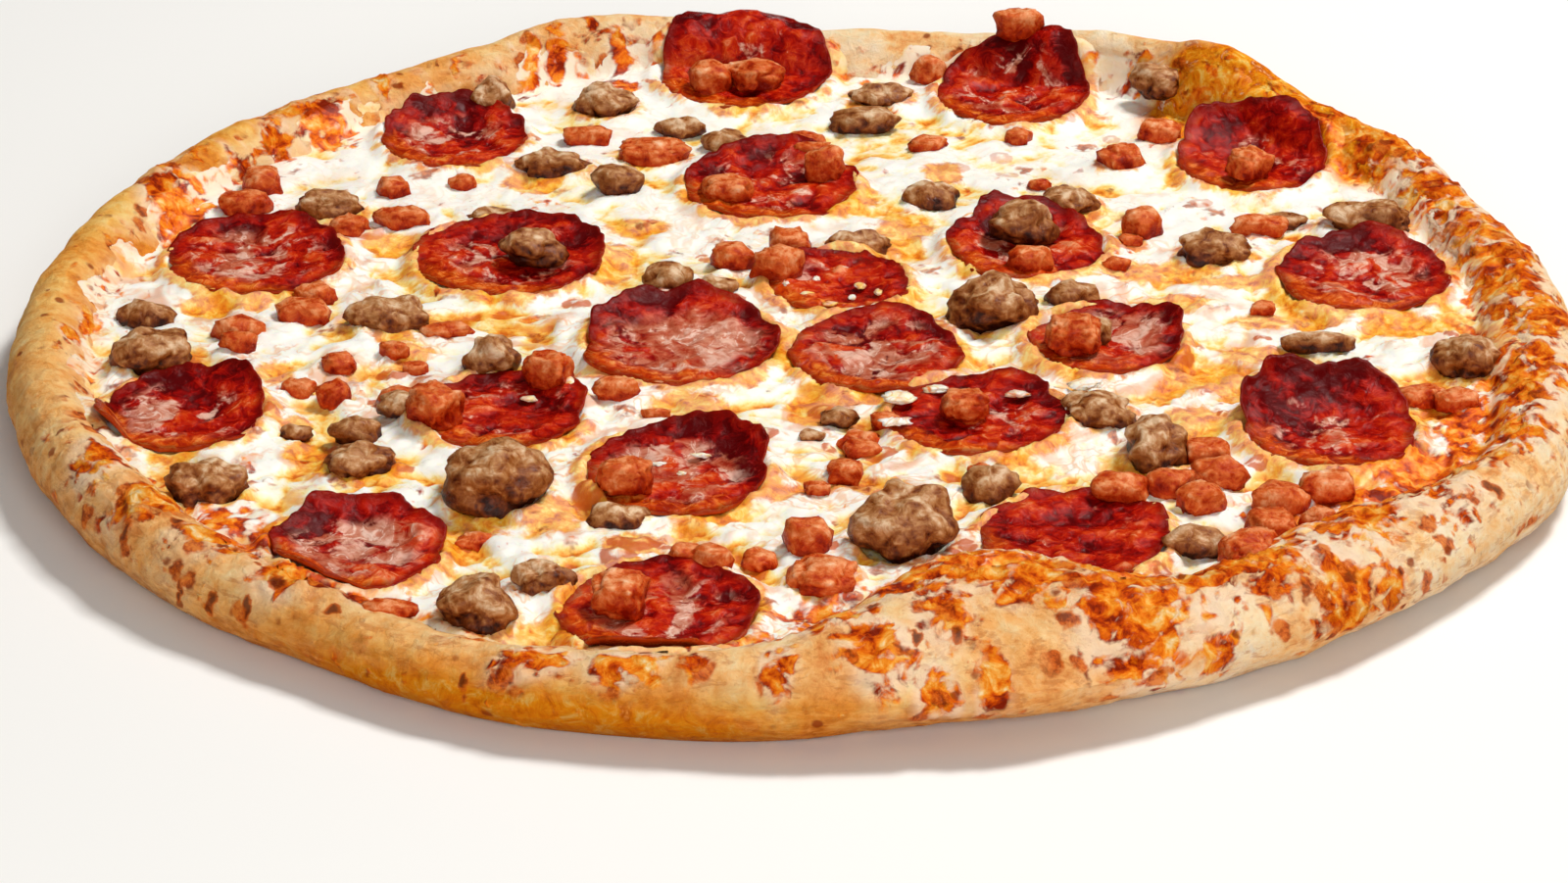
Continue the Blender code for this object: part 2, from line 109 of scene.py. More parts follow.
# How far round a slice the cheese gives way
SLICE_REACH = 7.0
# How far the lumps reach past the boxes of their solids
LUMP_MARGIN = 0.3
BIT_SUNK_SHARE = 0.25
FIRST_BIT_SEED = 100

# x, y, diameter, lift of one edge, direction of the lifted edge
SLICES = (
    (-84, 113, 35, 6, 100), (-15, 154, 42, 4.5, 90), (51, 141, 37, 5, 70),
    (107, 100, 36, 7, 80), (-8, 85, 40.5, 3, 110), (-126, 42, 40.5, 3, 60),
    (-68, 42, 42.5, 3, 60), (52, 50, 37, 4.5, 100), (128, 33, 39.5, 4, 90),
    (8, 29, 32, 1.5, 60), (-27, -5, 43, 5, 100), (16, -9, 38.5, 2, 60),
    (68, -3, 34.5, 2.5, 30), (-135, -41, 36.5, 5, 60), (-66, -40, 36.5, 1.5, 60),
    (38, -42, 39, 2, 40), (-27, -70, 39.5, 5, 60), (114, -48, 38, 8, 100),
    (-93, -106, 36.5, 5, 100), (57, -100, 39.5, 1.5, 40), (-29, -134, 40.5, 2, 60),
)

# How much of each slice shows a grey-pink painted sheen, a reflection of the light painted into
# its colour, in the order of SLICES
SLICE_PAINTED_SHEEN = (
    0.4, 0.2, 0.5, 0.3, 0.4, 0.5, 0.3, 0.4, 0.5, 0.1, 1, 0.8, 0.8, 0.6, 0.4, 0.1, 0.6, 0.3, 0.8,
    0.2, 0.5,
)

# Small pieces: kind, then rows of x, y, width, depth, height. Their order sets their shapes.
BIT_ROWS = (
    ("sausage", (-30, 121, 13, 9, 6), (-19, 112, 12, 9, 7), (-44, 84, 13, 10, 7),
     (15, 124, 18, 9, 6), (30, 78, 14, 10, 7), (-31, 30, 12, 9, 6), (-20, 24, 11, 8, 5),
     (-73, 69, 14, 7, 5), (-148, 9, 14, 10, 7), (61, 20, 13, 9, 8), (40, -77, 13, 11, 9),
     (115, -3, 17, 6, 5), (64, -2, 10, 9, 9), (-39, -90, 14, 9, 6), (-87, -40, 12, 9, 6)),
    ("ham", (31, 155, 10, 9, 9), (53, 157, 13, 8, 8), (0, 113, 11, 7, 5), (2, 103, 11, 7, 5),
     (5, 91, 10, 9, 9), (-18, 79, 13, 9, 6), (-23, 146, 11, 10, 9), (-52, 113, 12, 7, 5),
     (-128, 84, 10, 11, 7), (-131, 72, 13, 8, 6), (-106, 60, 11, 8, 5), (-94, 64, 14, 8, 5),
     (-97, 82, 9, 8, 5), (86, 118, 11, 9, 6), (79, 60, 10, 9, 7), (-3, 49, 10, 9, 9),
     (-16, 40, 11, 8, 6), (-6, 33, 13, 10, 8), (52, 38, 11, 8, 6), (67, -82, 13, 9, 7),
     (78, -77, 11, 9, 7), (84, -85, 11, 9, 7), (89, -71, 13, 9, 7), (101, -83, 13, 10, 8),
     (111, -79, 12, 9, 7), (98, -97, 12, 10, 7), (-113, 13, 13, 9, 6), (-103, -31, 8, 8, 6),
     (30, 112, 10, 6, 4), (52, 116, 7, 6, 4), (-19, -114, 10, 8, 6), (-9, -110, 8, 7, 5),
     (-127, 3, 13, 9, 7), (-41, -31, 11, 7, 5), (136, -29, 11, 7, 5), (143, -33, 10, 7, 5),
     (106, 60, 14, 7, 5), (-69, -98, 8, 6, 4), (9, -70, 8, 8, 5), (12, -50, 10, 7, 4),
     (-80, 2, 13, 6, 4), (-84, -135, 12, 6, 4)),
    ("sausage", (82, -104, 15, 11, 7)),
    ("ham", (94, -110, 10, 8, 7), (108, -96, 9, 8, 6), (-111, 24, 10, 8, 5), (87, -61, 10, 8, 6),
     (-103, -15, 8, 7, 5), (1, -105, 11, 9, 9), (-91, -9, 7, 5, 4), (-86, -15, 6, 5, 4),
     (-111, -26, 8, 6, 4)),
    ("sausage", (-97, -50, 12, 9, 6)),
    ("ham", (-89, -32, 9, 7, 5)),
    ("sausage", (8, -42, 9, 6, 5)),
    ("ham", (13, -56, 9, 6, 4), (18, -45, 7, 5, 4)),
    ("sausage", (2, -50, 6, 4, 3)),
    ("ham", (-32, -40, 7, 4, 3), (76, 55, 6, 4, 3), (72, 39, 7, 4, 3)),
    ("sausage", (113, 64, 10, 6, 5)),
    ("ham", (104, 16, 6, 4, 3), (-24, -112, 8, 6, 5), (-126, -6, 9, 6, 5), (-81, 88, 7, 5, 4),
     (56, 86, 6, 4, 3)),
    ("sausage", (-110, -48, 8, 5, 4)),
    ("ham", (38, -68, 6, 4, 3), (3, -79, 6, 4, 3)),
    ("cheese", (-3, 35, 3, 3, 1), (3, 31, 2, 3, 1), (9, 36, 3, 2, 1), (13, 27, 3, 4, 1),
     (1, 22, 4, 2, 1), (11, 20, 2, 3, 1), (17, 22, 2, 3, 1), (-4, 27, 2, 4, 1),
     (6, 15, 4, 2, 1), (21, -35, 8, 6, 1.4), (29, -30, 6, 4, 1.2), (47, -33, 6, 4, 1.2),
     (20, -47, 8, 5, 1.4), (-31, -66, 4, 2, 1), (-22, -63, 5, 2, 1), (-26, -70, 3, 2, 1),
     (62, -25, 8, 5, 1.4), (-60, -34, 4, 3, 1)),
)
BITS = [(kind, *bit) for kind, *bits in BIT_ROWS for bit in bits]

# Soft ovals, each as x, y, half width, half depth. First, cheese baked brown on the rim
BROWNED = (
    (14, -137, 24, 11), (40, -135, 26, 13), (66, -138, 22, 13), (92, -126, 18, 14),
    (108, -100, 21, 17), (122, -86, 22, 18), (134, -66, 19, 18), (146, -46, 14, 16),
    (-150, -74, 7, 10), (-136, -92, 11, 9), (-121, -108, 12, 9), (-103, -124, 11, 8),
    (160, 40, 13, 22), (152, 74, 13, 16), (137, 98, 13, 14), (165, 0, 9, 20), (158, -26, 13, 16),
    (148, -56, 14, 14), (-122, -92, 7, 10), (-136, -89, 8, 6), (-161, 1, 2, 9), (-163, -8, 3, 4),
    (-113, -105, 4, 15), (-87, -131, 8, 5), (-54, -160, 10, 4), (-35, -164, 8, 4),
    (-22, -165, 4, 4), (-5, -167, 4, 5), (27, -129, 20, 8), (-9, -150, 6, 10), (5, -150, 10, 11),
    (14, -163, 9, 8), (28, -150, 7, 12), (38, -168, 4, 9), (27, -170, 5, 6), (43, -143, 8, 8),
    (64, -150, 13, 15), (83, -154, 5, 11), (84, -133, 13, 8), (114, -103, 13, 16),
    (110, -131, 9, 12), (122, -125, 4, 8), (136, -75, 10, 12), (151, -61, 8, 6),
    (155, -42, 11, 6), (160, 24, 10, 24), (152, 60, 6, 9), (142, 92, 8, 8), (128, 108, 6, 12),
    (118, 112, 9, 8), (-147, 71, 9, 18), (-116, 115, 10, 10), (-103, 135, 3, 5), (-67, 153, 3, 6),
    (-61, 156, 3, 8), (-46, 160, 3, 5), (-37, 160, 3, 4), (-31, 165, 3, 4), (-43, 149, 5, 5),
    (-127, 106, 4, 8),
)

# Dough that has baked golden
GOLDEN = (
    (105, 122, 20, 18), (121, 112, 16, 16), (134, 98, 10, 12), (92, 130, 10, 12),
)

# Dark spots on the rim
SCORCHED = (
    (-129, -118, 0.9, 1.2), (-122, -124, 1, 1.5), (-114, -129, 1.3, 1.8),
    (-107, -127, 2.2, 2.4), (-112, -120, 1.2, 1.4), (-118, -113, 1.5, 1.5), (-96, -136, 2, 1.8),
    (-68, -160, 1, 1.6), (-141, -101, 1.8, 1.5), (-130, -103, 2, 1.6), (-146, 97, 2, 2.4),
    (-118, 127, 1.8, 2), (151, -63, 1.3, 1.8), (145, -88, 2.8, 1.7), (134, -113, 2, 3),
    (123, -119, 1.2, 1.3), (23, -160, 1.7, 2.4), (31, -158, 1.5, 2.6), (14, -149, 2, 2.2),
)

# Orange fat that has soaked into the cheese
STAINED = (
    (-45, 44, 7, 11), (77, 38, 12, 7), (92, 32, 5, 4), (-37, -18, 14, 8), (23, 60, 8, 12),
    (12, 80, 6, 8), (-12, -77, 12, 7), (13, -28, 12, 7), (-65, 89, 8, 5), (-39, 63, 8, 5),
    (-95, 54, 9, 5), (-110, -46, 4, 7), (-107, -58, 6, 6), (-92, 0, 5, 6), (-87, -8, 5, 4),
    (-117, -18, 5, 7), (-35, -102, 7, 7), (3, -77, 8, 4), (17, -75, 7, 5), (104, 11, 8, 5),
    (115, 11, 11, 5), (75, 54, 6, 3), (-53, -89, 7, 9), (-70, -95, 8, 6), (91, -21, 13, 9),
    (86, -41, 8, 8), (2, -36, 7, 9), (-25, -36, 9, 8), (33, 95, 6, 7), (67, 131, 8, 4),
    (-112, 63, 8, 4), (-131, 19, 12, 5), (135, 8, 10, 6), (101, -8, 10, 6), (84, 20, 10, 6),
    (122, -20, 9, 6), (100, 32, 8, 5),
)

# Colour ramps: places along a value, with colours in 0 to 255
BAKED_BROWN = (
    (0.41, 132, 30, 2), (0.46, 198, 66, 2), (0.51, 236, 112, 10), (0.56, 248, 150, 36),
    (0.61, 253, 190, 96), (0.67, 255, 226, 176),
)
BAKED_GOLD = ((0.36, 190, 76, 3), (0.45, 238, 130, 8), (0.54, 250, 164, 28), (0.63, 255, 210, 110))
DOUGH = ((0.37, 208, 114, 42), (0.46, 240, 153, 52), (0.55, 252, 192, 97), (0.64, 255, 221, 144))
# Paler dough, partly its own colour and partly painted light
PALE_DOUGH = (
    (0.36, 240, 148, 74), (0.45, 253, 200, 134), (0.54, 255, 228, 184), (0.64, 255, 243, 220),
)
# Darker dough low on the crust, partly its baked colour and partly painted shade
LOW_DOUGH = ((0.36, 146, 48, 3), (0.47, 198, 104, 24), (0.58, 228, 152, 74))
SPOTS = ((0.40, 128, 36, 4), (0.50, 206, 84, 12), (0.58, 232, 126, 40))
CHEESE = (
    (0.02, 212, 104, 16), (0.14, 243, 158, 50), (0.27, 252, 200, 98), (0.41, 255, 230, 160),
    (0.56, 255, 246, 216), (0.76, 255, 254, 244),
)
FAT = ((0.36, 196, 76, 4), (0.46, 238, 136, 18), (0.56, 251, 186, 56), (0.64, 254, 220, 128))
FLECKS = ((0.42, 142, 48, 12), (0.58, 214, 118, 60))
PEPPERONI = (
    (0.34, 86, 0, 2), (0.44, 146, 5, 2), (0.53, 186, 30, 4), (0.62, 212, 74, 22),
    (0.72, 232, 144, 96),
)
# Colours of the painted sheen: grey-pink reflected light painted on the pepperoni
PAINTED_SHEEN = ((0.38, 158, 42, 20), (0.46, 188, 98, 68), (0.53, 208, 142, 116), (0.60, 232, 190, 170))
# Orange of the slices' front parts: partly grease and partly painted light
GREASY_LIT_PEPPERONI = ((0.40, 166, 36, 2), (0.52, 212, 82, 8), (0.64, 240, 146, 54))
SAUSAGE = (
    (0.38, 48, 10, 1), (0.45, 108, 46, 10), (0.51, 148, 84, 36), (0.57, 186, 130, 80),
    (0.65, 228, 196, 160),
)
HAM = (
    (0.38, 128, 16, 1), (0.47, 184, 54, 10), (0.55, 216, 104, 44), (0.63, 240, 160, 108),
    (0.70, 250, 204, 168),
)
FLOOR_COLOUR = (243.445, 242.848, 241.648)
SKY_COLOUR = (255.0, 252.745, 249.311)

KEY_PLACE = (0.75, 0.60, 1.60)
KEY_POWER = 31.0
FRONT_PLACE = (0.1, -1.3, 0.55)
FRONT_POWER = 10.5
FLOOR_SIZE = 6.0
BACKDROP_STRENGTH = 0.9
# The viewpoint: 25.3 degrees above the table, through a lens of 6050 of the photo's pixels
CAMERA_DISTANCE = 1.3335
CAMERA_ELEVATION = 0.441
CAMERA_AIM = (-0.0042, -0.0270, 0.0)
FOCAL_PIXELS = 6050.0
PHOTO_WIDTH = 1600.0
SENSOR_WIDTH = 36.0

HASH_FACTORS = np.array((73856093, 19349663, 83492791))
HASH_SEED = 40503
HASH_MIX = 1274126177
# From a cube's middle to the middles of its twelve edges
EDGE_WAYS = np.array(
    [way for way in itertools.product((-1, 0, 1), repeat=3) if sum(map(abs, way)) == 2], float
)


def linear(red, green, blue):
    """A colour given in 0 to 255, as Blender's linear colour."""
    shares = (red / 255, green / 255, blue / 255)
    return tuple(s / 12.92 if s <= 0.04045 else ((s + 0.055) / 1.055) ** 2.4 for s in shares)


def smooth_step(low, high, value):
    share = np.clip((value - low) / (high - low), 0.0, 1.0)
    return share * share * (3.0 - 2.0 * share)


def bell(value, centre, half_width):
    """1 at the centre, falling off smoothly to both sides."""
    return np.exp(-(((value - centre) / half_width) ** 2))


def perlin(points, seed=0):
    """Smooth noise of about -1 to 1 at an (n, 3) array of points."""
    cell = np.floor(points).astype(np.int64)
    part = points - cell
    fade = part**3 * (part * (part * 6 - 15) + 10)
    total = np.zeros(len(points))
    for corner in itertools.product((0, 1), repeat=3):
        mixed = np.bitwise_xor.reduce((cell + corner) * HASH_FACTORS, axis=1)
        mixed = mixed ^ (seed + 17) * HASH_SEED
        mixed = (mixed ^ (mixed >> 13)) * HASH_MIX
        way = EDGE_WAYS[((mixed ^ (mixed >> 16)) & 0xFFFF) % len(EDGE_WAYS)]
        weight = np.prod(np.where(corner, fade, 1.0 - fade), axis=1)
        total += weight * np.sum(way * (part - corner), axis=1)
    return total


def fractal(points, size, octaves=3, seed=0):
    """Layers of noise, the first with features of the given size."""
    total = np.zeros(len(points))
    strength = 1.0
    for octave in range(octaves):
        total += strength * perlin(points / size, seed + octave)
        size *= 0.5
        strength *= 0.5
    return total


def ridges(points, size, seed, sharp=3.0):
    """A network of raised lines, 1 along the lines and 0 between them."""
    return 1.0 - np.clip(np.abs(perlin(points / size, seed)) * sharp, 0.0, 1.0)


def bent_points(points, size, amount, seed):
    """Points moved by slow noise, so that what is read there bends and curls."""
    moves = [amount * fractal(points, size, 2, seed + 10 * axis) for axis in range(3)]
    return points + np.stack(moves, axis=1)


def flat_points(x, y, depth=0.0):
    return np.stack([x, y, np.full_like(x, depth)], axis=1)


def bump_sum(bumps, angle):
    """The sum of smooth bumps (centre angle, half width, amount) at an array of angles."""
    total = np.zeros_like(angle)
    for centre, half_width, amount in bumps:
        away = (angle - centre + 180.0) % 360.0 - 180.0
        total += amount * bell(away, 0.0, half_width)
    return total


def outline(angle):
    swell = 3.0 * np.sin(np.radians(angle)) - 1.5 * np.cos(np.radians(angle))
    return OUTER_RADIUS + swell + bump_sum(OUTLINE_BUMPS, angle)


def rim_height(angle):
    return RIM_HEIGHT + bump_sum(HEIGHT_BUMPS, angle)


def rim_width(angle):
    return RIM_WIDTH + bump_sum(WIDTH_BUMPS, angle)


def rim_places(x, y):
    """The angle of each place, and how far in it lies from the outer edge in rim widths."""
    angle = np.degrees(np.arctan2(y, x))
    return angle, (outline(angle) - np.hypot(x, y)) / rim_width(angle)


def profile_height(inset, height, angle):
    """Height shares of the rim's profile, with the tilt that its upper side has at each angle."""
    upper = smooth_step(RIM_PROFILE[2][1], RIM_PROFILE[3][1], height)
    return height + upper * INWARD_TILT * bump_sum(INWARD_BUMPS, angle) * (inset - INWARD_PIVOT)


def ripple(x, y, size, amount):
    """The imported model's slow random height at arrays of places."""
    depth = 0.37
    return np.array(
        [amount * noise.noise(Vector((a / size, b / size, depth))) for a, b in zip(x, y)]
    )


def smooth_profile(count):
    """The rim's half section as a smooth row of (inset, height) shares."""
    knots = np.array(RIM_PROFILE)
    spans = np.linalg.norm(np.diff(knots, axis=0), axis=1)
    along = np.concatenate([[0.0], np.cumsum(spans)])
    slopes = np.gradient(knots, along, axis=0)
    places = np.linspace(0.0, along[-1], count)
    index = np.clip(np.searchsorted(along, places, side="right") - 1, 0, len(knots) - 2)
    span = (along[index + 1] - along[index])[:, None]
    t = ((places - along[index]) / span[:, 0])[:, None]
    start, end = knots[index], knots[index + 1]
    out, into = slopes[index] * span, slopes[index + 1] * span
    return (
        (2 * t**3 - 3 * t**2 + 1) * start
        + (t**3 - 2 * t**2 + t) * out
        + (3 * t**2 - 2 * t**3) * end
        + (t**3 - t**2) * into
    )


def crust_top(x, y):
    """Height of the crust's upper side at arrays of places."""
    angle, inset = rim_places(x, y)
    tall = rim_height(angle)
    profile = smooth_profile(UPPER_PROFILE_ROWS)
    upper = profile[np.argmin(profile[:, 0]):]
    rim = profile_height(inset, np.interp(inset, upper[:, 0], upper[:, 1]), angle) * tall
    last = profile_height(*RIM_PROFILE[-1], angle) * tall
    past = (inset - RIM_PROFILE[-1][0]) * rim_width(angle) / SLOPE_RUN
    slope = last - np.clip(past, 0.0, 1.0) * (last - BASE_THICKNESS)
    return np.where(past > 0.0, slope, rim)


def patches(spots, x, y):
    """How deep inside a set of soft ovals each place is, from 0 to 1."""
    deepest = np.zeros_like(x)
    for spot_x, spot_y, half_width, half_depth in spots:
        reach = np.hypot((x - spot_x) / half_width, (y - spot_y) / half_depth)
        deepest = np.maximum(deepest, 1.0 - smooth_step(0.2, 1.5, reach))
    return deepest


def slice_under(place, x, y, sharp=2.4):
    """Height of a pepperoni slice's underside at arrays of places."""
    centre_x, centre_y, diameter, lift, direction = place
    reach = np.hypot(x - centre_x, y - centre_y) / (diameter / 2)
    turn = np.arctan2(y - centre_y, x - centre_x) - math.radians(direction)
    edge = lift * (0.5 + 0.5 * np.cos(turn)) ** 2
    resting = CHEESE_LEVEL - 0.4 + (SLICE_CUP + edge) * np.minimum(reach, 1.1) ** sharp
    rim = np.full_like(x, -99.0)
    for angle in np.radians(np.arange(0.0, 360.0, 45.0)):
        near = crust_top(x + 3.0 * math.cos(angle), y + 3.0 * math.sin(angle))
        rim = np.maximum(rim, near)
    return np.maximum(resting, rim + 0.6)


def make_mesh(name, points, faces, attributes):
    """A smooth mesh object from millimetre points, with float attributes on its points."""
    mesh = bpy.data.meshes.new(name)
    groups = faces if isinstance(faces, list) else [faces]
    corners = np.concatenate([group.ravel() for group in groups])
    sizes = np.concatenate([np.full(len(group), group.shape[1]) for group in groups])
    mesh.vertices.add(len(points))
    mesh.vertices.foreach_set("co", ((points + CENTRE) * MM).astype(np.float32).ravel())
    mesh.loops.add(len(corners))
    mesh.loops.foreach_set("vertex_index", corners.astype(np.int32))
    mesh.polygons.add(len(sizes))
    mesh.polygons.foreach_set("loop_start", (np.cumsum(sizes) - sizes).astype(np.int32))
    mesh.update(calc_edges=True)
    mesh.validate()
    mesh.polygons.foreach_set("use_smooth", np.ones(len(mesh.polygons), dtype=bool))
    for key, values in attributes.items():
        layer = mesh.attributes.new(key, "FLOAT", "POINT")
        layer.data.foreach_set("value", np.asarray(values, dtype=np.float32))
    made = bpy.data.objects.new(name, mesh)
    bpy.context.scene.collection.objects.link(made)
    return made


def grid_faces(rows, columns, wrap):
    """Quads between the points of a grid whose columns may close into a ring."""
    row = np.arange(rows - 1)[:, None]
    column = np.arange(columns if wrap else columns - 1)[None, :]
    following = (column + 1) % columns
    start, end = row * columns, (row + 1) * columns
    corners = [start + column, start + following, end + following, end + column]
    return np.stack(corners, axis=2).reshape(-1, 4)


def ring_faces(rows, around):
    """Faces over rings of points, closed at both ends by a fan to one more point each."""
    column = np.arange(around)
    following = (column + 1) % around
    first, last = rows * around, rows * around + 1
    end = (rows - 1) * around
    start_fan = np.stack([np.full(around, first), following, column], axis=1)
    end_fan = np.stack([np.full(around, last), end + column, end + following], axis=1)
    return [grid_faces(rows, around, True), start_fan, end_fan]


def with_ends(values, around):
    """Values on rings of points, with those of the two fans' middle points added."""
    first = values[:around].mean(axis=0, keepdims=True)
    last = values[-around:].mean(axis=0, keepdims=True)
    return np.concatenate([values, first, last])


def make_rings(name, points, attributes, around):
    """A closed mesh over rings of points."""
    attributes = {key: with_ends(values, around) for key, values in attributes.items()}
    faces = ring_faces(len(points) // around, around)
    return make_mesh(name, with_ends(points, around), faces, attributes)


def grid_normals(grid):
    """Normals of a (rows, columns, 3) grid that closes along its columns."""
    down = np.gradient(grid, axis=0)
    around = np.roll(grid, -1, axis=1) - np.roll(grid, 1, axis=1)
    normal = np.cross(around, down)
    length = np.linalg.norm(normal, axis=2, keepdims=True)
    return normal / np.maximum(length, 1e-9)


def lace(points):
    """Pale cheese left between the browned cells, from 0 in a cell to 1 on the cheese."""
    bent = bent_points(points, 14.0, 4.0, 501)
    return np.maximum(ridges(bent, 9.0, 541, 4.2), 0.8 * ridges(bent, 4.6, 551, 3.4))


def browning(x, y):
    """Where the rim and the cheese on it have baked brown, from 0 to 1."""
    angle, inset = rim_places(x, y)
    right = bell(angle, -2.0, 48.0)
    fringe = bell(inset, 0.95 - 0.25 * right, 0.32 + 0.22 * right) * (0.36 + 0.36 * right)
    arc = np.radians(angle) * OUTER_RADIUS
    across = np.stack([arc / 4.5, 1.4 * inset, np.zeros_like(x)], axis=1)
    stripes = smooth_step(0.0, 0.25, perlin(across, 601)) * bell(inset, 0.7, 0.25)
    stripes = 0.75 * stripes * bell(angle, 132.0, 32.0)
    return np.maximum(np.maximum(patches(BROWNED, x, y), fringe), stripes)


def crust_grid():
    """Rings of points over the crust, from the middle of its floor to the middle of its top."""
    angle = np.linspace(0.0, 360.0, CRUST_AROUND, endpoint=False)
    profile = smooth_profile(CRUST_PROFILE_ROWS)
    radius = outline(angle) - profile[:, :1] * rim_width(angle)
    height = profile_height(profile[:, :1], profile[:, 1:], angle) * rim_height(angle)
    floor = np.outer((0.05, 0.5, 0.9), radius[0])
    down = np.array((0.35, 0.7, 1.0))[:, None]
    slope = radius[-1] - down * SLOPE_RUN
    slope_height = height[-1] - down * (height[-1] - BASE_THICKNESS)
    middle = np.outer((0.5, 0.02), slope[-1])
    middle_height = np.full_like(middle, BASE_THICKNESS)
    radius = np.concatenate([floor, radius, slope, middle])
    height = np.concatenate([np.zeros_like(floor), height, slope_height, middle_height])
    turn = np.radians(angle)
    return np.stack([radius * np.cos(turn), radius * np.sin(turn), height], axis=2)


def make_crust():
    """The baked dough, with its swellings, creases and pores."""
    grid = crust_grid()
    flat = grid.reshape(-1, 3)
    x, y, z = flat.T
    turn, reach = np.arctan2(y, x), np.hypot(x, y)
    angle, arc = np.degrees(turn), turn * OUTER_RADIUS
    browned = browning(x, y) * smooth_step(5.0, 11.0, z)
    network = lace(flat)
    front = smooth_step(60.0, -120.0, y)
    swelling = 0.9 * fractal(flat, 24.0, 2, 3) + 0.55 * fractal(flat, 10.0, 2, 11)
    along_rim = np.stack([arc / 26.0, z / 2.8, reach / 6.0], axis=1)
    crease = -1.4 * np.clip(0.12 - np.abs(perlin(along_rim, 5)), 0.0, 1.0)
    along_rim = np.stack([arc / 7.0, z / 1.3, reach / 3.0], axis=1)
    wrinkle = 0.22 * perlin(along_rim, 7) * smooth_step(12.0, 6.0, z)
    skin = crease + wrinkle + 0.34 * fractal(flat, 3.2, 2, 21)
    crag = browned * (1.1 * network - 0.5 + 0.9 * fractal(flat, 5.0, 3, 41))
    above_floor = np.clip(z / 5.0, 0.0, 1.0)
    lift = above_floor * (swelling + (0.3 + 0.7 * front) * skin + crag)
    moved = flat + grid_normals(grid).reshape(-1, 3) * lift[:, None]
    moved[:, 2] = np.maximum(moved[:, 2], 0.0)
    grease = 1.6 * bell(angle, -109.0, 14.0) * bell(z, 5.0, 5.0)
    wobble = 1.2 * fractal(flat, 3.0, 2, 61)
    spotted = bell(angle, -42.0, 40.0) + 0.9 * bell(angle, -140.0, 24.0)
    # Paler dough towards the right and back, where the key light falls, on the front rim's top and
    # at the left front: partly the dough's own colour and partly painted light
    pale = np.maximum(smooth_step(-60.0, 120.0, x + 0.6 * y), smooth_step(-10.0, 105.0, x))
    pale = np.maximum(pale, 0.45 * bell(angle, -148.0, 22.0))
    attributes = {
        "browned": browned,
        "lace": network,
        # Low on the crust, where the material paints darker dough: partly baked colour, partly
        # painted shade
        "low": 1.0 - smooth_step(1.0, 12.0 + 7.0 * front, z),
        "pale": np.maximum(pale, 0.55 * smooth_step(11.0, 17.0, z) * front),
        "front": front,
        "spotted": spotted * smooth_step(6.0, 10.0, z),
        "golden": np.maximum(np.minimum(grease, 1.0), patches(GOLDEN, x, y)),
        "scorched": patches(SCORCHED, x + wobble, y - wobble) * smooth_step(5.0, 8.0, z),
        "relief": 0.5 + 0.5 * np.clip(crag + 2.0 * skin, -1.0, 1.0),
    }
    return make_rings("baked_crust", moved, attributes, CRUST_AROUND)


def cheese_relief(x, y):
    """Plateaus, strands and knobs of the melted cheese, from about -1 in the hollows to 1."""
    spots = flat_points(x, y, 3.3)
    bent = bent_points(spots, 19.0, 6.0, 51)
    plateau = smooth_step(-0.42, 0.22, fractal(bent, 16.0, 3, 91))
    turn = 2.4 * perlin(spots / 70.0, 95)
    along = np.cos(turn) * bent[:, 0] + np.sin(turn) * bent[:, 1]
    across = np.cos(turn) * bent[:, 1] - np.sin(turn) * bent[:, 0]
    strand = ridges(flat_points(along / 13.0, across / 3.6), 1.0, 71, 2.6)
    knobs = fractal(bent, 6.0, 2, 97)
    return 1.25 * plateau + 0.5 * strand + 0.7 * knobs - 0.85


def make_blisters(x, y):
    """Heights and toasted rims of the bubbles in the cheese."""
    rng = random.Random(8)
    bulge, toast = np.zeros_like(x), np.zeros_like(x)
    for _ in range(BLISTER_COUNT):
        reach, turn = BLISTER_REACH * math.sqrt(rng.random()), rng.uniform(0.0, 6.3)
        spot_x, spot_y = reach * math.cos(turn), reach * math.sin(turn)
        size, stretch = rng.uniform(*BLISTER_SIZES), rng.uniform(0.6, 1.0)
        near = (np.abs(x - spot_x) < 1.3 * size) & (np.abs(y - spot_y) < 1.3 * size)
        away = np.hypot((x[near] - spot_x), (y[near] - spot_y) / stretch) / size
        dome = np.clip(1.0 - away**2, 0.0, 1.0)
        ring = bell(away, 0.75, 0.3) + 0.5 * dome
        bulge[near] = np.maximum(bulge[near], dome * size * 0.26)
        toast[near] = np.maximum(toast[near], ring * rng.choice((0.0, 0.45, 1.0)))
    return bulge, toast


def settle_round_slices(x, y, height, stain):
    """Push the cheese down under each slice and up against its edge, and soak it with fat."""
    wander = fractal(flat_points(x, y, 5.0), 7.0, 2, 121)
    for place in SLICES:
        away = np.hypot(x - place[0], y - place[1]) - place[2] / 2
        near = np.flatnonzero(away < SLICE_REACH)
        out, level = away[near], height[near]
        under = slice_under(place, x[near], y[near], 2.8)
        brim = np.minimum(under + 1.4 + 2.0 * wander[near], level + 2.4)
        raised = np.maximum(level, level + (brim - level) * smooth_step(5.0, 0.4, out))
        sunk = np.minimum(level, under - 0.25)
        height[near] = sunk + (raised - sunk) * smooth_step(-1.2, 0.0, out)
        soak = 0.75 - 0.3 * smooth_step(20.0, 120.0, y[near])
        ring = bell(out, 0.8, 2.6) * (soak + 0.9 * wander[near])
        stain[near] = np.maximum(stain[near], ring)


def settle_round_lumps(x, y, height, stain, boxes):
    """Raise a collar of cheese round each piece that is sunk in it."""
    for low, high in boxes:
        if low[2] > CHEESE_LEVEL + 2.5:
            continue
        centre, half = (low + high) / 2, (high - low) / 2
        away = np.hypot((x - centre[0]) / half[0], (y - centre[1]) / half[1])
        near = np.flatnonzero(away < 2.2)
        out = (away[near] - 1.0) * min(half[0], half[1])
        collar = bell(out, 0.0, 2.2) * (out > -2.0)
        height[near] += 1.3 * collar - 1.5 * smooth_step(-1.5, -4.0, out)
        stain[near] = np.maximum(stain[near], 0.5 * collar)


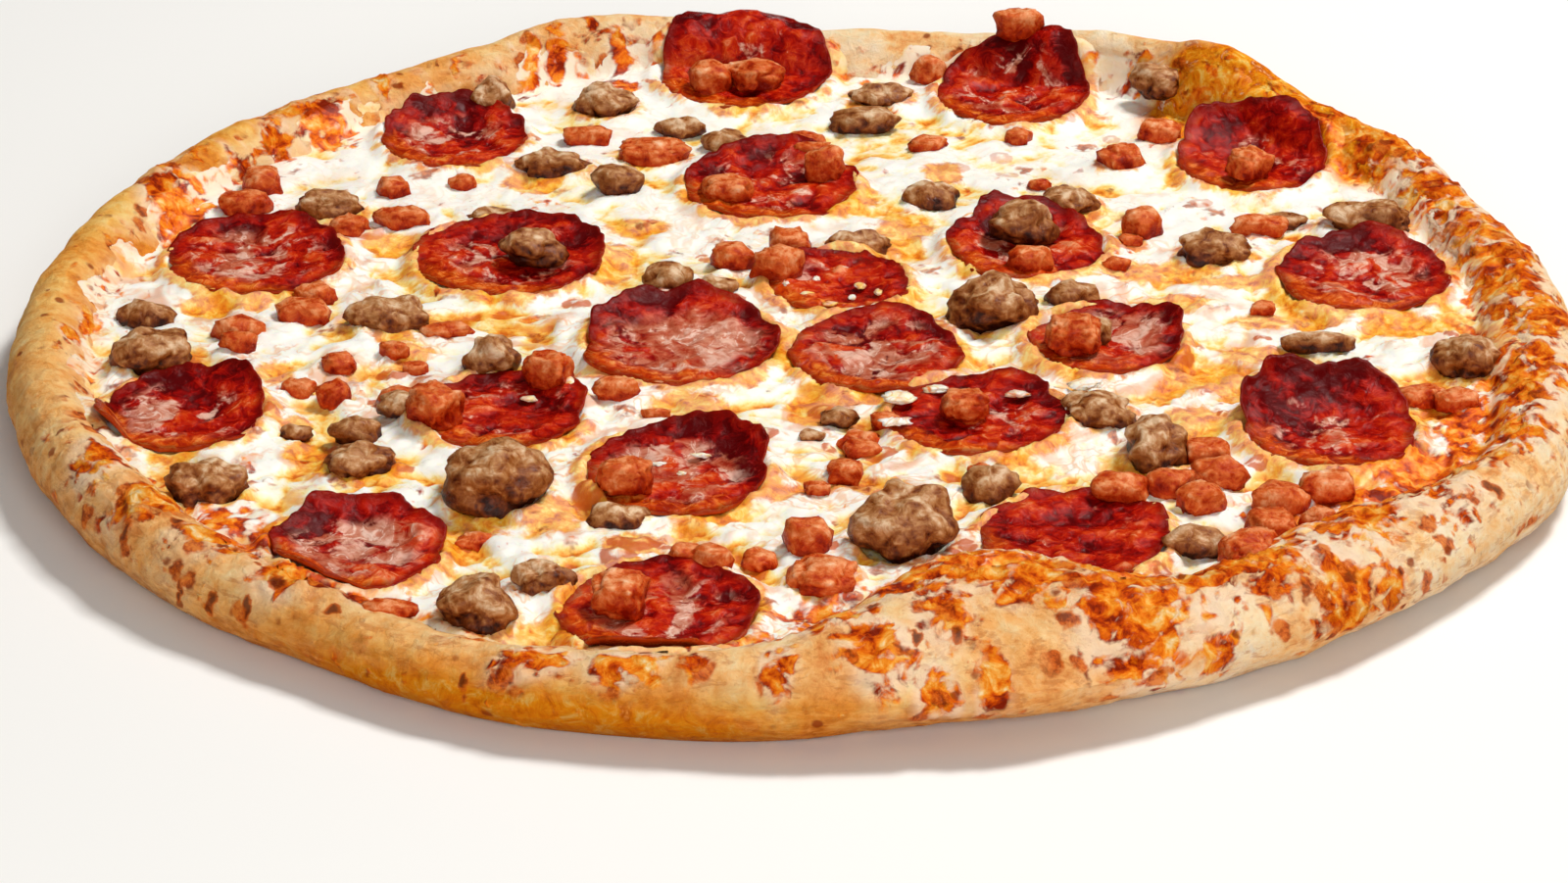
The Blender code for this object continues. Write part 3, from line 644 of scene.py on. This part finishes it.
def make_cheese(boxes):
    """The melted cheese, a sheet that gives way under what lies on it and runs up the rim."""
    reach = np.arange(-OUTER_RADIUS, OUTER_RADIUS + CHEESE_STEP, CHEESE_STEP)
    grid_x, grid_y = np.meshgrid(reach, reach)
    x, y = grid_x.ravel(), grid_y.ravel()
    inset = rim_places(x, y)[1]
    relief = cheese_relief(x, y)
    bulge, toast = make_blisters(x, y)
    calm = smooth_step(0.0, 110.0, y)
    level = CHEESE_LEVEL + 0.5 + ripple(x, y, 26.0, CHEESE_SWELL) + ripple(x, y, 9.0, 0.5)
    level += (1.25 - 0.6 * calm) * relief + bulge * (1.0 - 0.6 * calm)
    browned = browning(x, y)
    top = crust_top(x, y)
    network = lace(np.stack([x, y, top], axis=1))
    film = 1.2 * fractal(flat_points(x, y), 12.0, 3, 101) + 1.3 * smooth_step(0.6, 1.0, inset)
    film += browned * (0.6 + 0.9 * network) - 1.5 * smooth_step(0.75, 0.45, inset) - 1.3
    rim = top + film
    blend = np.clip(0.5 + 0.5 * (level - rim) / 2.0, 0.0, 1.0)
    height = rim + (level - rim) * blend + blend * (1.0 - blend)
    stain = patches(STAINED, x, y)
    settle_round_slices(x, y, height, stain)
    settle_round_lumps(x, y, height, stain, boxes)
    keep = (inset > CHEESE_INSET) & (height > top - 1.2)
    faces = grid_faces(len(reach), len(reach), False)
    faces = faces[keep[faces].all(axis=1)]
    used = np.unique(faces)
    index = np.full(len(x), -1)
    index[used] = np.arange(len(used))
    attributes = {
        "browned": browned,
        "lace": network,
        "stain": stain,
        "toast": toast,
        # Also colours the cheese, with painted shade in the hollows
        "relief": 0.5 + 0.5 * np.clip(relief, -1.0, 1.0) + 0.2 * calm,
        "calm": calm,
        "rim": smooth_step(1.2, 0.9, inset),
        "golden": patches(GOLDEN, x, y),
    }
    attributes = {key: values[used] for key, values in attributes.items()}
    points = np.stack([x, y, height], axis=1)[used]
    made = make_mesh("melted_cheese", points, index[faces], attributes)
    return made, height.reshape(len(reach), len(reach))


def make_slice(number, place):
    """One cupped pepperoni slice with an uneven, thin edge."""
    centre_x, centre_y, diameter, lift, direction = place
    phase = np.linspace(0.0, 2 * np.pi, SLICE_AROUND, endpoint=False)
    ring = flat_points(np.cos(phase), np.sin(phase), number * 1.7)
    corners = 0.24 * (np.abs(perlin(ring / 0.9, 5)) - 0.2)
    ragged = corners + 0.05 * perlin(ring / 0.3, 9) + 0.03 * perlin(ring / 0.12, 13)
    edge = diameter / 2 * (1.0 + ragged)
    wall = 1.0 + 0.01 * np.sin(np.linspace(0.2, np.pi - 0.2, SLICE_WALL_RINGS))
    top_shares = np.linspace(0.02, 1.0, SLICE_TOP_RINGS) ** 0.85
    shares = np.concatenate([top_shares, wall, np.linspace(0.98, 0.05, SLICE_UNDER_RINGS)])
    wall_drops = np.linspace(0.15, 0.85, SLICE_WALL_RINGS)
    drops = np.concatenate([np.zeros(SLICE_TOP_RINGS), wall_drops, np.ones(SLICE_UNDER_RINGS)])
    circle_x, circle_y, turn = (
        np.tile(values, len(shares)) for values in (np.cos(phase), np.sin(phase), phase)
    )
    share, drop = np.repeat(shares, SLICE_AROUND), np.repeat(drops, SLICE_AROUND)
    radius = share * np.tile(edge, len(shares))
    x, y = centre_x + radius * circle_x, centre_y + radius * circle_y
    bent = bent_points(flat_points(x, y, number * 9.1), 9.0, 3.0, 241)
    folds = 1.25 * fractal(bent, 9.5, 2, 201) + 0.4 * fractal(bent, 3.4, 2, 211)
    inner = smooth_step(1.0, 0.7, share)
    flutter = fractal(flat_points(circle_x, circle_y, number * 3.1), 0.5, 2, 231)
    under = slice_under(place, x, y, 2.8) + 0.8 * flutter * smooth_step(0.75, 1.0, share)
    thick = SLICE_EDGE_THICKNESS + (SLICE_THICKNESS - SLICE_EDGE_THICKNESS) * inner
    top = thick + folds * (0.35 + 0.65 * inner)
    height = under + (1.0 - drop) * top + drop * 0.1
    raised = np.clip(np.cos(turn - math.radians(direction)), 0.0, 1.0)
    attributes = {
        "share": share,
        # The raised back edge faces away from the key light; the material paints shade on it
        "shaded_raised_back": raised * smooth_step(0.3, 0.9, share) * min(lift / 5.0, 1.0),
        # Front part of each slice, painted orange: partly grease and partly painted light
        "greasy_lit_front": np.clip(-np.sin(turn + 0.5), 0.0, 1.0) * smooth_step(0.35, 1.0, share),
        # Heights of the folds; the material darkens the low ones as painted shade
        "relief": 0.5 + 0.5 * np.clip(folds, -1.0, 1.0),
        "side": np.clip(drop * 3.0, 0.0, 1.0),
        # How strongly the painted sheen shows on this slice
        "painted_sheen_amount": np.full(len(x), SLICE_PAINTED_SHEEN[number - 1]),
    }
    points = np.stack([x, y, height], axis=1)
    return make_rings(f"pepperoni_slice_{number:02d}", points, attributes, SLICE_AROUND)


def ball(level):
    """Points and faces of a unit ball made of triangles."""
    body = bmesh.new()
    bmesh.ops.create_icosphere(body, subdivisions=level, radius=1.0)
    points = np.array([vertex.co[:] for vertex in body.verts])
    faces = np.array([[vertex.index for vertex in face.verts] for face in body.faces])
    body.free()
    return points, faces


def turned(points, angle):
    c, s = math.cos(angle), math.sin(angle)
    return points @ np.array(((c, s, 0.0), (-s, c, 0.0), (0.0, 0.0, 1.0)))


def fit_to(points, low, high):
    """Stretch points to fill a box, a little past its floor."""
    top, bottom = points.max(axis=0), points.min(axis=0)
    scale = (high - low) / (top - bottom)
    scale[2] *= 1.12
    fitted = (points - (top + bottom) / 2) * scale + (high + low) / 2
    fitted[:, 2] += high[2] - fitted[:, 2].max()
    return fitted


def sausage_shape(directions, seed):
    """A crumbly nugget: a few merged swellings with a pitted skin."""
    offset = np.array((seed * 3.7, seed * 1.3, seed * 2.1))
    slow = 0.38 * fractal(directions * 1.1 + offset, 1.0, 2, 301)
    knobs = 0.08 * (0.3 - np.abs(perlin(directions * 2.0 + offset, 311)))
    small = 0.032 * fractal(directions * 4.0 + offset, 1.0, 2, 321)
    cracks = -0.35 * np.clip(0.07 - np.abs(perlin(directions * 3.1 + offset, 341)), 0.0, 1.0)
    pits = 0.022 * fractal(directions * 11.0 + offset, 1.0, 2, 331)
    swell = slow + knobs * 2.0 + small + cracks + pits
    relief = knobs * 6.0 + small * 5.0 + cracks * 40.0 + pits * 14.0
    return directions * (1.0 + swell)[:, None], relief


def ham_shape(directions, seed):
    """A diced piece with worn corners and slightly sunken faces."""
    offset = np.array((seed * 2.3, seed * 4.1, seed * 0.7))
    boxed = np.sign(directions) * np.abs(directions) ** 0.62
    boxed /= np.linalg.norm(boxed, axis=1, keepdims=True) ** 0.3
    slow = 0.26 * fractal(directions * 1.3 + offset, 1.0, 2, 401)
    rough = 0.11 * fractal(directions * 3.0 + offset, 1.0, 3, 411)
    return boxed * (1.0 + slow + rough)[:, None], rough * 8.0


def film_shape(directions, seed):
    """A fleck or strand of melted cheese."""
    offset = np.array((seed * 1.9, seed * 3.3, seed * 2.7))
    slow = 0.55 * fractal(directions * 1.2 + offset, 1.0, 2, 701)
    small = 0.16 * fractal(directions * 3.5 + offset, 1.0, 2, 711)
    return directions * (1.0 + slow + small)[:, None], 0.3 + small * 4.0


def make_lump(shape, low, high, seed, level):
    """Points, faces and attributes of one piece that fills a box."""
    directions, faces = ball(level)
    points, relief = shape(directions, seed)
    rng = random.Random(seed)
    points = fit_to(turned(points, rng.uniform(0.0, 6.3)), low, high)
    attributes = {
        "relief": 0.5 + 0.5 * np.clip(relief, -1.0, 1.0),
        # Height share within the piece, which the material uses to paint light on top and shade
        # low down
        "up": np.clip((points[:, 2] - low[2]) / (high[2] - low[2]), 0.0, 1.0),
        "stain": np.full(len(points), rng.uniform(0.1, 0.5)),
    }
    return points, faces, attributes


def surface_height(cheese, x, y):
    """Height of the highest cheese or slice at a place."""
    row, column = (int(round((value + OUTER_RADIUS) / CHEESE_STEP)) for value in (y, x))
    best = cheese[row, column]
    for place in SLICES:
        if math.hypot(x - place[0], y - place[1]) < place[2] / 2:
            under = slice_under(place, np.array([float(x)]), np.array([float(y)]))[0]
            best = max(best, under + SLICE_THICKNESS)
    return best


def make_bits(kind, shape, cheese):
    """All the small pieces of one kind, as one mesh."""
    lumps = []
    for seed, (this_kind, x, y, width, depth, tall) in enumerate(BITS, start=FIRST_BIT_SEED):
        if this_kind == kind:
            floor = surface_height(cheese, x, y) - BIT_SUNK_SHARE * tall
            low = np.array((x - width / 2, y - depth / 2, floor))
            lumps.append(make_lump(shape, low, low + (width, depth, tall), seed, BIT_LEVEL))
    points, faces, attributes = zip(*lumps)
    faces = np.concatenate([part + number * len(points[0]) for number, part in enumerate(faces)])
    merged = {key: np.concatenate([part[key] for part in attributes]) for key in attributes[0]}
    return make_mesh(f"{kind}_bits", np.concatenate(points), faces, merged)


class Shader:
    """A material or world put together from small steps. Sizes are in millimetres."""

    def __init__(self, name, kind="materials", last="Principled BSDF"):
        self.owner = getattr(bpy.data, kind).new(name)
        self.owner.use_nodes = True
        self.tree = self.owner.node_tree
        self.last = self.tree.nodes[last]
        self.place = self.node("TexCoord")["Object"]

    def put(self, socket, value):
        """Link a socket, or set it to a number, a vector or a colour given in 0 to 255."""
        if isinstance(value, bpy.types.NodeSocket):
            self.tree.links.new(value, socket)
        elif socket.type == "RGBA":
            socket.default_value = (*linear(*value), 1.0)
        else:
            socket.default_value = value

    def set(self, **values):
        for key, value in values.items():
            self.put(self.last.inputs[key.replace("_", " ")], value)

    def node(self, kind, sockets=None, **settings):
        """The outputs of a new node."""
        made = self.tree.nodes.new(f"ShaderNode{kind}")
        for key, value in settings.items():
            setattr(made, key, value)
        for key, value in (sockets or {}).items():
            self.put(made.inputs[key], value)
        return made.outputs

    def attributes(self, *names):
        return [self.node("Attribute", attribute_name=name)["Fac"] for name in names]

    def noise(self, size, detail=2.0, roughness=0.55, distortion=0.0, squeeze=(1.0, 1.0, 1.0)):
        place = self.node("VectorMath", {0: self.place, 1: squeeze}, operation="MULTIPLY")
        sockets = {"Vector": place["Vector"], "Scale": PER_METRE / size, "Detail": detail}
        sockets |= {"Roughness": roughness, "Distortion": distortion}
        return self.node("TexNoise", sockets)["Fac"]

    def cells(self, size, warp):
        """Distance to the nearest of scattered points, with places moved about by the warp."""
        moves = self.node("TexNoise", {"Vector": self.place, "Scale": PER_METRE / 4.0})["Color"]
        sockets = {0: moves, 1: (2.0 * warp * MM,) * 3, 2: self.place}
        place = self.node("VectorMath", sockets, operation="MULTIPLY_ADD")["Vector"]
        return self.node("TexVoronoi", {"Vector": place, "Scale": PER_METRE / size})["Distance"]

    def math(self, operation, first, second=0.0, clamp=False):
        sockets = {0: first, 1: second}
        return self.node("Math", sockets, operation=operation, use_clamp=clamp)["Value"]

    def total(self, *terms, extra=0.0):
        """The sum of values, some with a factor, and of a number."""
        parts = [self.product(*term) if isinstance(term, tuple) else term for term in terms]
        if extra:
            parts.append(extra)
        return functools.reduce(lambda whole, part: self.math("ADD", whole, part), parts)

    def product(self, *factors):
        return functools.reduce(lambda whole, part: self.math("MULTIPLY", whole, part), factors)

    def away(self, value, middle):
        return self.math("ABSOLUTE", self.math("SUBTRACT", value, middle))

    def step(self, value, low, high, out_low=0.0, out_high=1.0):
        """A smooth step from one output to another as the value goes from low to high."""
        sockets = dict(enumerate((value, low, high, out_low, out_high)))
        return self.node("MapRange", sockets, interpolation_type="SMOOTHSTEP")["Result"]

    def paint(self, under, over, *shares):
        """One colour laid over another, as strongly as the product of the shares."""
        sockets = {0: self.product(*shares), 6: under, 7: over}
        return self.node("Mix", sockets, data_type="RGBA")[2]

    def ramp(self, value, stops):
        node = self.tree.nodes.new("ShaderNodeValToRGB")
        elements = node.color_ramp.elements
        while len(elements) < len(stops):
            elements.new(0.5)
        for element, (place, *colour) in zip(elements, stops):
            element.position = place
            element.color = (*linear(*colour), 1.0)
        self.put(node.inputs["Fac"], value)
        return node.outputs["Color"]

    def bump(self, height, distance):
        sockets = {"Strength": 1.0, "Distance": distance * MM, "Height": height}
        self.set(Normal=self.node("Bump", sockets)["Normal"])


def browned_patches(shader, browned, network):
    """The share and the colour of what has baked brown, with pale lace left through it."""
    ragged = shader.noise(6.5, 4.0, 0.56, 0.8)
    depth = shader.total((browned, 1.3), (ragged, 3.2), (network, -0.8), extra=-1.6)
    fine, coarse = shader.noise(4.2, 5.0, 0.6, 0.6), shader.noise(11.0, 4.0, 0.6, 0.6)
    rise = shader.step(depth, 0.34, 0.9, -0.015, 0.02)
    tint = shader.total((fine, 0.6), (coarse, 0.4), rise)
    return shader.step(depth, 0.14, 0.68), shader.ramp(tint, BAKED_BROWN)


def golden_glaze(shader):
    """The share and the colour of dough or cheese that has baked golden."""
    golden = shader.math("MULTIPLY", *shader.attributes("golden"), 1.6, clamp=True)
    share = shader.product(golden, shader.step(shader.noise(5.0, 6.0, 0.7, 0.4), 0.30, 0.42))
    return share, shader.ramp(shader.noise(5.0, 6.0, 0.68, 0.8), BAKED_GOLD)


def crust_material():
    shader = Shader("baked_dough")
    pale, low, front, browned, network, spotted, scorched = shader.attributes(
        "pale", "low", "front", "browned", "lace", "spotted", "scorched"
    )
    broad = shader.noise(24.0, 4.0, 0.6, 0.5)
    fine = shader.noise(3.4, 7.0, 0.72, 0.3)
    streaks = shader.noise(5.0, 6.0, 0.7, 0.4, (1.0, 1.0, 3.2))
    tone = shader.total((broad, 0.62), (fine, 0.38))
    # Paler dough where pale is set: partly its own colour and partly painted light
    dough = shader.paint(shader.ramp(tone, DOUGH), shader.ramp(tone, PALE_DOUGH), pale)
    # Darker dough low on the crust, less where it is pale: partly baked colour and partly painted
    # shade
    lower = shader.step(pale, 0.0, 1.0, 0.85, 0.3)
    dough = shader.paint(dough, shader.ramp(streaks, LOW_DOUGH), low, lower)
    wrinkle = shader.step(shader.noise(5.0, 4.0, 0.62, 0.5, (1.0, 1.0, 3.4)), 0.47, 0.38)
    dough = shader.paint(dough, (190, 96, 30), wrinkle, front, 0.4)
    film = shader.step(browned, 0.02, 0.6)
    dough = shader.paint(dough, (255, 220, 188), film, shader.step(broad, 0.36, 0.60), 0.8)
    golden, gold = golden_glaze(shader)
    # Golden glaze, darker low on the crust: partly its own colour and partly painted shade
    dough = shader.paint(dough, shader.paint(gold, (186, 96, 1), low, 0.75), golden)
    share, brown = browned_patches(shader, browned, network)
    dough = shader.paint(dough, brown, share)
    spots = shader.step(shader.cells(9.5, 2.6), 0.30, 0.20)
    near = shader.step(shader.total(browned, (spotted, 0.3)), 0.08, 0.24)
    dough = shader.paint(dough, shader.ramp(fine, SPOTS), spots, near, 0.9)
    speck = shader.step(shader.cells(7.0, 1.2), 0.22, 0.12)
    some = shader.step(shader.noise(22.0, 2.0), 0.46, 0.56)
    dough = shader.paint(dough, (146, 54, 10), speck, some, 0.85)
    burn = shader.total(scorched, fine)
    scorch = shader.paint((208, 92, 22), (104, 28, 5), shader.step(burn, 1.0, 1.4))
    dough = shader.paint(dough, scorch, shader.step(burn, 0.8, 1.1, 0.0, 0.9))
    shader.set(Base_Color=dough, Roughness=shader.step(share, 0.0, 1.0, 0.62, 0.38))
    shader.set(Specular_IOR_Level=0.04, Subsurface_Weight=0.08, Subsurface_Scale=0.003)
    shader.set(Subsurface_Radius=(1.0, 0.4, 0.15))
    grooves = shader.product(streaks, low, 0.8)
    shader.bump(shader.total(fine, grooves, (share, 0.25)), 1.3)
    return shader.owner


def cheese_material():
    shader = Shader("melted_cheese")
    relief, calm, stain, toasted, rim, browned, network = shader.attributes(
        "relief", "calm", "stain", "toast", "rim", "browned", "lace"
    )
    fine = shader.noise(2.6, 7.0, 0.72, 0.4)
    cloud = shader.noise(7.0, 4.0, 0.55, 0.8)
    # Colour by relief: white on the plateaus, warmer in the hollows, partly the cheese's own
    # colour and partly painted shade
    tone = shader.total(relief, (cloud, 1.2), (fine, 0.4), extra=-0.8)
    lively = shader.step(calm, 0.0, 1.0, 1.0, 0.3)
    pink = shader.step(shader.noise(12.0, 3.0, 0.5, 0.7), 0.53, 0.68)
    cheese = shader.paint(shader.ramp(tone, CHEESE), (226, 144, 90), pink, lively, 0.6)
    streak = shader.noise(8.0, 5.0, 0.64, 1.6)
    soaked = shader.step(shader.total(stain, (streak, 1.4), (relief, -0.3)), 0.72, 1.05)
    fat = shader.ramp(shader.noise(4.0, 5.0, 0.68, 0.5), FAT)
    cheese = shader.paint(cheese, fat, soaked, 0.85)
    veil = shader.step(shader.noise(22.0, 3.0, 0.5), 0.44, 0.56)
    line = shader.step(shader.away(shader.noise(9.0, 2.0, 0.5, 1.4), 0.5), 0.06, 0.0)
    cheese = shader.paint(cheese, (236, 150, 62), line, veil, lively, 0.5)
    flecks = shader.step(shader.cells(15.0, 5.0), 0.22, 0.10)
    some = shader.step(cloud, 0.40, 0.50)
    cheese = shader.paint(cheese, shader.ramp(fine, FLECKS), flecks, some, 0.85)
    toast = shader.step(shader.total(toasted, fine), 0.95, 1.4)
    cheese = shader.paint(cheese, (200, 90, 26), toast, shader.step(lively, 0.3, 1.0, 0.45, 0.85))
    cheese = shader.paint(cheese, (250, 206, 156), rim, 0.5)
    golden, gold = golden_glaze(shader)
    cheese = shader.paint(cheese, gold, golden)
    share, brown = browned_patches(shader, browned, network)
    cheese = shader.paint(cheese, brown, share)
    shader.set(Base_Color=cheese, Roughness=shader.step(fine, 0.3, 0.7, 0.24, 0.42))
    shader.set(Specular_IOR_Level=0.16, Subsurface_Weight=0.3, Subsurface_Scale=0.003)
    shader.set(Subsurface_Radius=(1.0, 0.6, 0.3))
    shader.bump(fine, 0.3)
    return shader.owner


def pepperoni_material():
    shader = Shader("cooked_pepperoni")
    share, painted_sheen_amount, shaded_raised_back, greasy_lit_front, relief, side = shader.attributes(
        "share", "painted_sheen_amount", "shaded_raised_back", "greasy_lit_front", "relief", "side"
    )
    grain = shader.noise(3.0, 6.0, 0.68, 0.8)
    cloud = shader.noise(10.0, 3.0, 0.55, 1.0)
    swirl = shader.noise(9.0, 2.5, 0.5, 1.1)
    # Tone: the meat's own grain, with painted shade in the hollows of the folds and on the raised
    # back edge
    tone = shader.total((grain, 0.68), (relief, 0.32), (shaded_raised_back, -0.13))
    # Painted sheen: a grey-pink reflection of the light, painted into the middle of each slice but
    # not on its shaded raised back
    middle = shader.step(shader.total(share, (cloud, 0.8)), 1.32, 1.0)
    amount = shader.total((painted_sheen_amount, -0.24), extra=0.62)
    uneven = shader.total((cloud, 0.75), (grain, 0.25))
    painted_sheen_share = shader.step(uneven, amount, shader.math("ADD", amount, 0.07))
    painted_sheen_share = shader.product(painted_sheen_share, middle, shader.step(shaded_raised_back, 0.7, 0.3))
    sheen = shader.ramp(shader.total((swirl, 0.6), (grain, 0.4)), PAINTED_SHEEN)
    meat = shader.paint(shader.ramp(tone, PEPPERONI), sheen, painted_sheen_share, 0.85)
    # Painted glints: thin near-white highlights painted over the sheen
    painted_glint = shader.step(shader.away(swirl, 0.52), 0.018, 0.004)
    some = shader.step(grain, 0.44, 0.54)
    meat = shader.paint(meat, (250, 222, 206), painted_glint, painted_sheen_share, some, 0.6)
    # Orange front part: partly grease and partly painted light
    orange = shader.step(shader.total(greasy_lit_front, (cloud, 0.9)), 0.78, 1.1)
    meat = shader.paint(meat, shader.ramp(grain, GREASY_LIT_PEPPERONI), orange, 0.75)
    rim = shader.step(shader.total(share, (grain, 0.3)), 1.02, 1.13)
    meat = shader.paint(meat, (108, 9, 2), rim, 0.65)
    meat = shader.paint(meat, (178, 58, 8), side, 0.7)
    shader.set(Base_Color=meat, Roughness=shader.step(grain, 0.35, 0.65, 0.15, 0.3))
    shader.set(Specular_IOR_Level=0.09, Subsurface_Weight=0.04, Subsurface_Scale=0.002)
    shader.bump(shader.total(grain, (swirl, 0.8)), 0.5)
    return shader.owner


def lump_material(name, stops, fine, cloud_size, shares, painted_light_by_height, rough, specular, subsurface):
    """The material of pieces of meat, with painted shade low down and in the hollows of their
    relief, and painted light on their tops.
    """
    shader = Shader(name)
    relief, up = shader.attributes("relief", "up")
    grain, cloud = shader.noise(*fine), shader.noise(cloud_size, 4.0, 0.6, 0.8)
    terms = zip((relief, grain, cloud), shares)
    # Painted light and shade: lighter on top, darker low down and in the hollows of the relief
    colour = shader.ramp(shader.total(*terms, shader.step(up, *painted_light_by_height)), stops)
    shader.set(Base_Color=colour, Roughness=shader.step(grain, 0.35, 0.65, *rough))
    shader.set(Specular_IOR_Level=specular, Subsurface_Weight=subsurface, Subsurface_Scale=0.002)
    shader.bump(grain, 0.7)
    return shader.owner


def sausage_material():
    # The last four numbers paint shade low down and light on top
    fine, shares, painted_light_by_height = (2.8, 6.0, 0.66, 0.5), (0.18, 0.42, 0.4), (0.1, 0.9, -0.1, 0.07)
    rough = (0.26, 0.44)
    return lump_material("cooked_sausage", SAUSAGE, fine, 7.0, shares, painted_light_by_height, rough, 0.2, 0.05)


def ham_material():
    # The last four numbers paint shade low down and light on top
    fine, shares, painted_light_by_height = (2.6, 6.0, 0.68, 0.4), (0.15, 0.45, 0.4), (0.1, 0.95, -0.07, 0.05)
    return lump_material("diced_ham", HAM, fine, 6.0, shares, painted_light_by_height, (0.2, 0.4), 0.1, 0.1)


def node_box(node):
    low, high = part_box(node)
    return np.array(low) / MM - CENTRE, np.array(high) / MM - CENTRE


def dress(made, material, node):
    """Give a piece its material, hang it under the root and hide the solid that it stands for."""
    made.data.materials.append(material)
    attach(made, "root")
    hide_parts(node)


def make_pizza():
    dough, melted = crust_material(), cheese_material()
    pepperoni, sausage, ham = pepperoni_material(), sausage_material(), ham_material()
    names = sorted(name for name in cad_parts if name.startswith(("sausage", "ham")))
    boxes = {name: node_box(name) for name in names}
    dress(make_crust(), dough, "crust")
    sheet, cheese = make_cheese(boxes.values())
    dress(sheet, melted, "cheese")
    for number, place in enumerate(SLICES, start=1):
        dress(make_slice(number, place), pepperoni, f"pepperoni_{number:02d}")
    for seed, (name, (low, high)) in enumerate(boxes.items()):
        kind, number = name.split("_")
        shape, material = (sausage_shape, sausage) if kind == "sausage" else (ham_shape, ham)
        lump = make_lump(shape, low - LUMP_MARGIN, high + LUMP_MARGIN, seed, LUMP_LEVEL)
        dress(make_mesh(f"{kind}_piece_{number}", *lump), material, name)
    dress(make_bits("sausage", sausage_shape, cheese), sausage, "cheese")
    dress(make_bits("ham", ham_shape, cheese), ham, "cheese")
    dress(make_bits("cheese", film_shape, cheese), melted, "cheese")


def area_light(name, place, size, power, colour):
    """A rectangular light aimed at the middle of the frame."""
    data = bpy.data.lights.new(name, "AREA")
    data.shape = "RECTANGLE"
    data.size, data.size_y = size
    data.energy = power
    data.color = colour
    lamp = bpy.data.objects.new(name, data)
    lamp.location = place
    lamp.rotation_euler = (-Vector(place)).to_track_quat("-Z", "Y").to_euler()
    bpy.context.scene.collection.objects.link(lamp)


def make_world():
    """Light from overhead that fades towards the horizon, and a pale backdrop."""
    sky = Shader("studio", "worlds", "Background")
    direction = sky.node("SeparateXYZ", {0: sky.node("TexCoord")["Generated"]})
    fade = sky.step(direction["Z"], 0.45, 0.85, 0.03, 0.26)
    camera_ray = sky.node("LightPath")["Is Camera Ray"]
    seen = sky.node("Mix", {0: camera_ray, 2: fade, 3: BACKDROP_STRENGTH})[0]
    sky.set(Strength=seen, Color=SKY_COLOUR)
    bpy.context.scene.world = sky.owner


def make_studio():
    make_world()
    area_light("key", KEY_PLACE, (0.4, 0.4), KEY_POWER, (1.0, 0.985, 0.95))
    area_light("front", FRONT_PLACE, (0.8, 0.5), FRONT_POWER, (1.0, 0.97, 0.92))
    bpy.ops.mesh.primitive_plane_add(size=FLOOR_SIZE, location=(0.0, 1.0, -0.0004))
    floor = bpy.context.object
    floor.name = "floor"
    shader = Shader("floor")
    shader.set(Base_Color=FLOOR_COLOUR, Roughness=0.8)
    floor.data.materials.append(shader.owner)


def make_camera():
    """The photo's viewpoint, looking along +Y."""
    data = bpy.data.cameras.new("camera")
    data.sensor_width = SENSOR_WIDTH
    data.lens = SENSOR_WIDTH * FOCAL_PIXELS / PHOTO_WIDTH
    camera = bpy.data.objects.new("camera", data)
    centre = Vector(CENTRE * MM)
    away = Vector((0.0, -math.cos(CAMERA_ELEVATION), math.sin(CAMERA_ELEVATION)))
    camera.location = centre + away * CAMERA_DISTANCE
    aim = centre + Vector(CAMERA_AIM)
    camera.rotation_euler = (aim - camera.location).to_track_quat("-Z", "Y").to_euler()
    bpy.context.scene.collection.objects.link(camera)
    bpy.context.scene.camera = camera


make_pizza()
make_studio()
make_camera()
bpy.context.scene.view_settings.view_transform = "Standard"
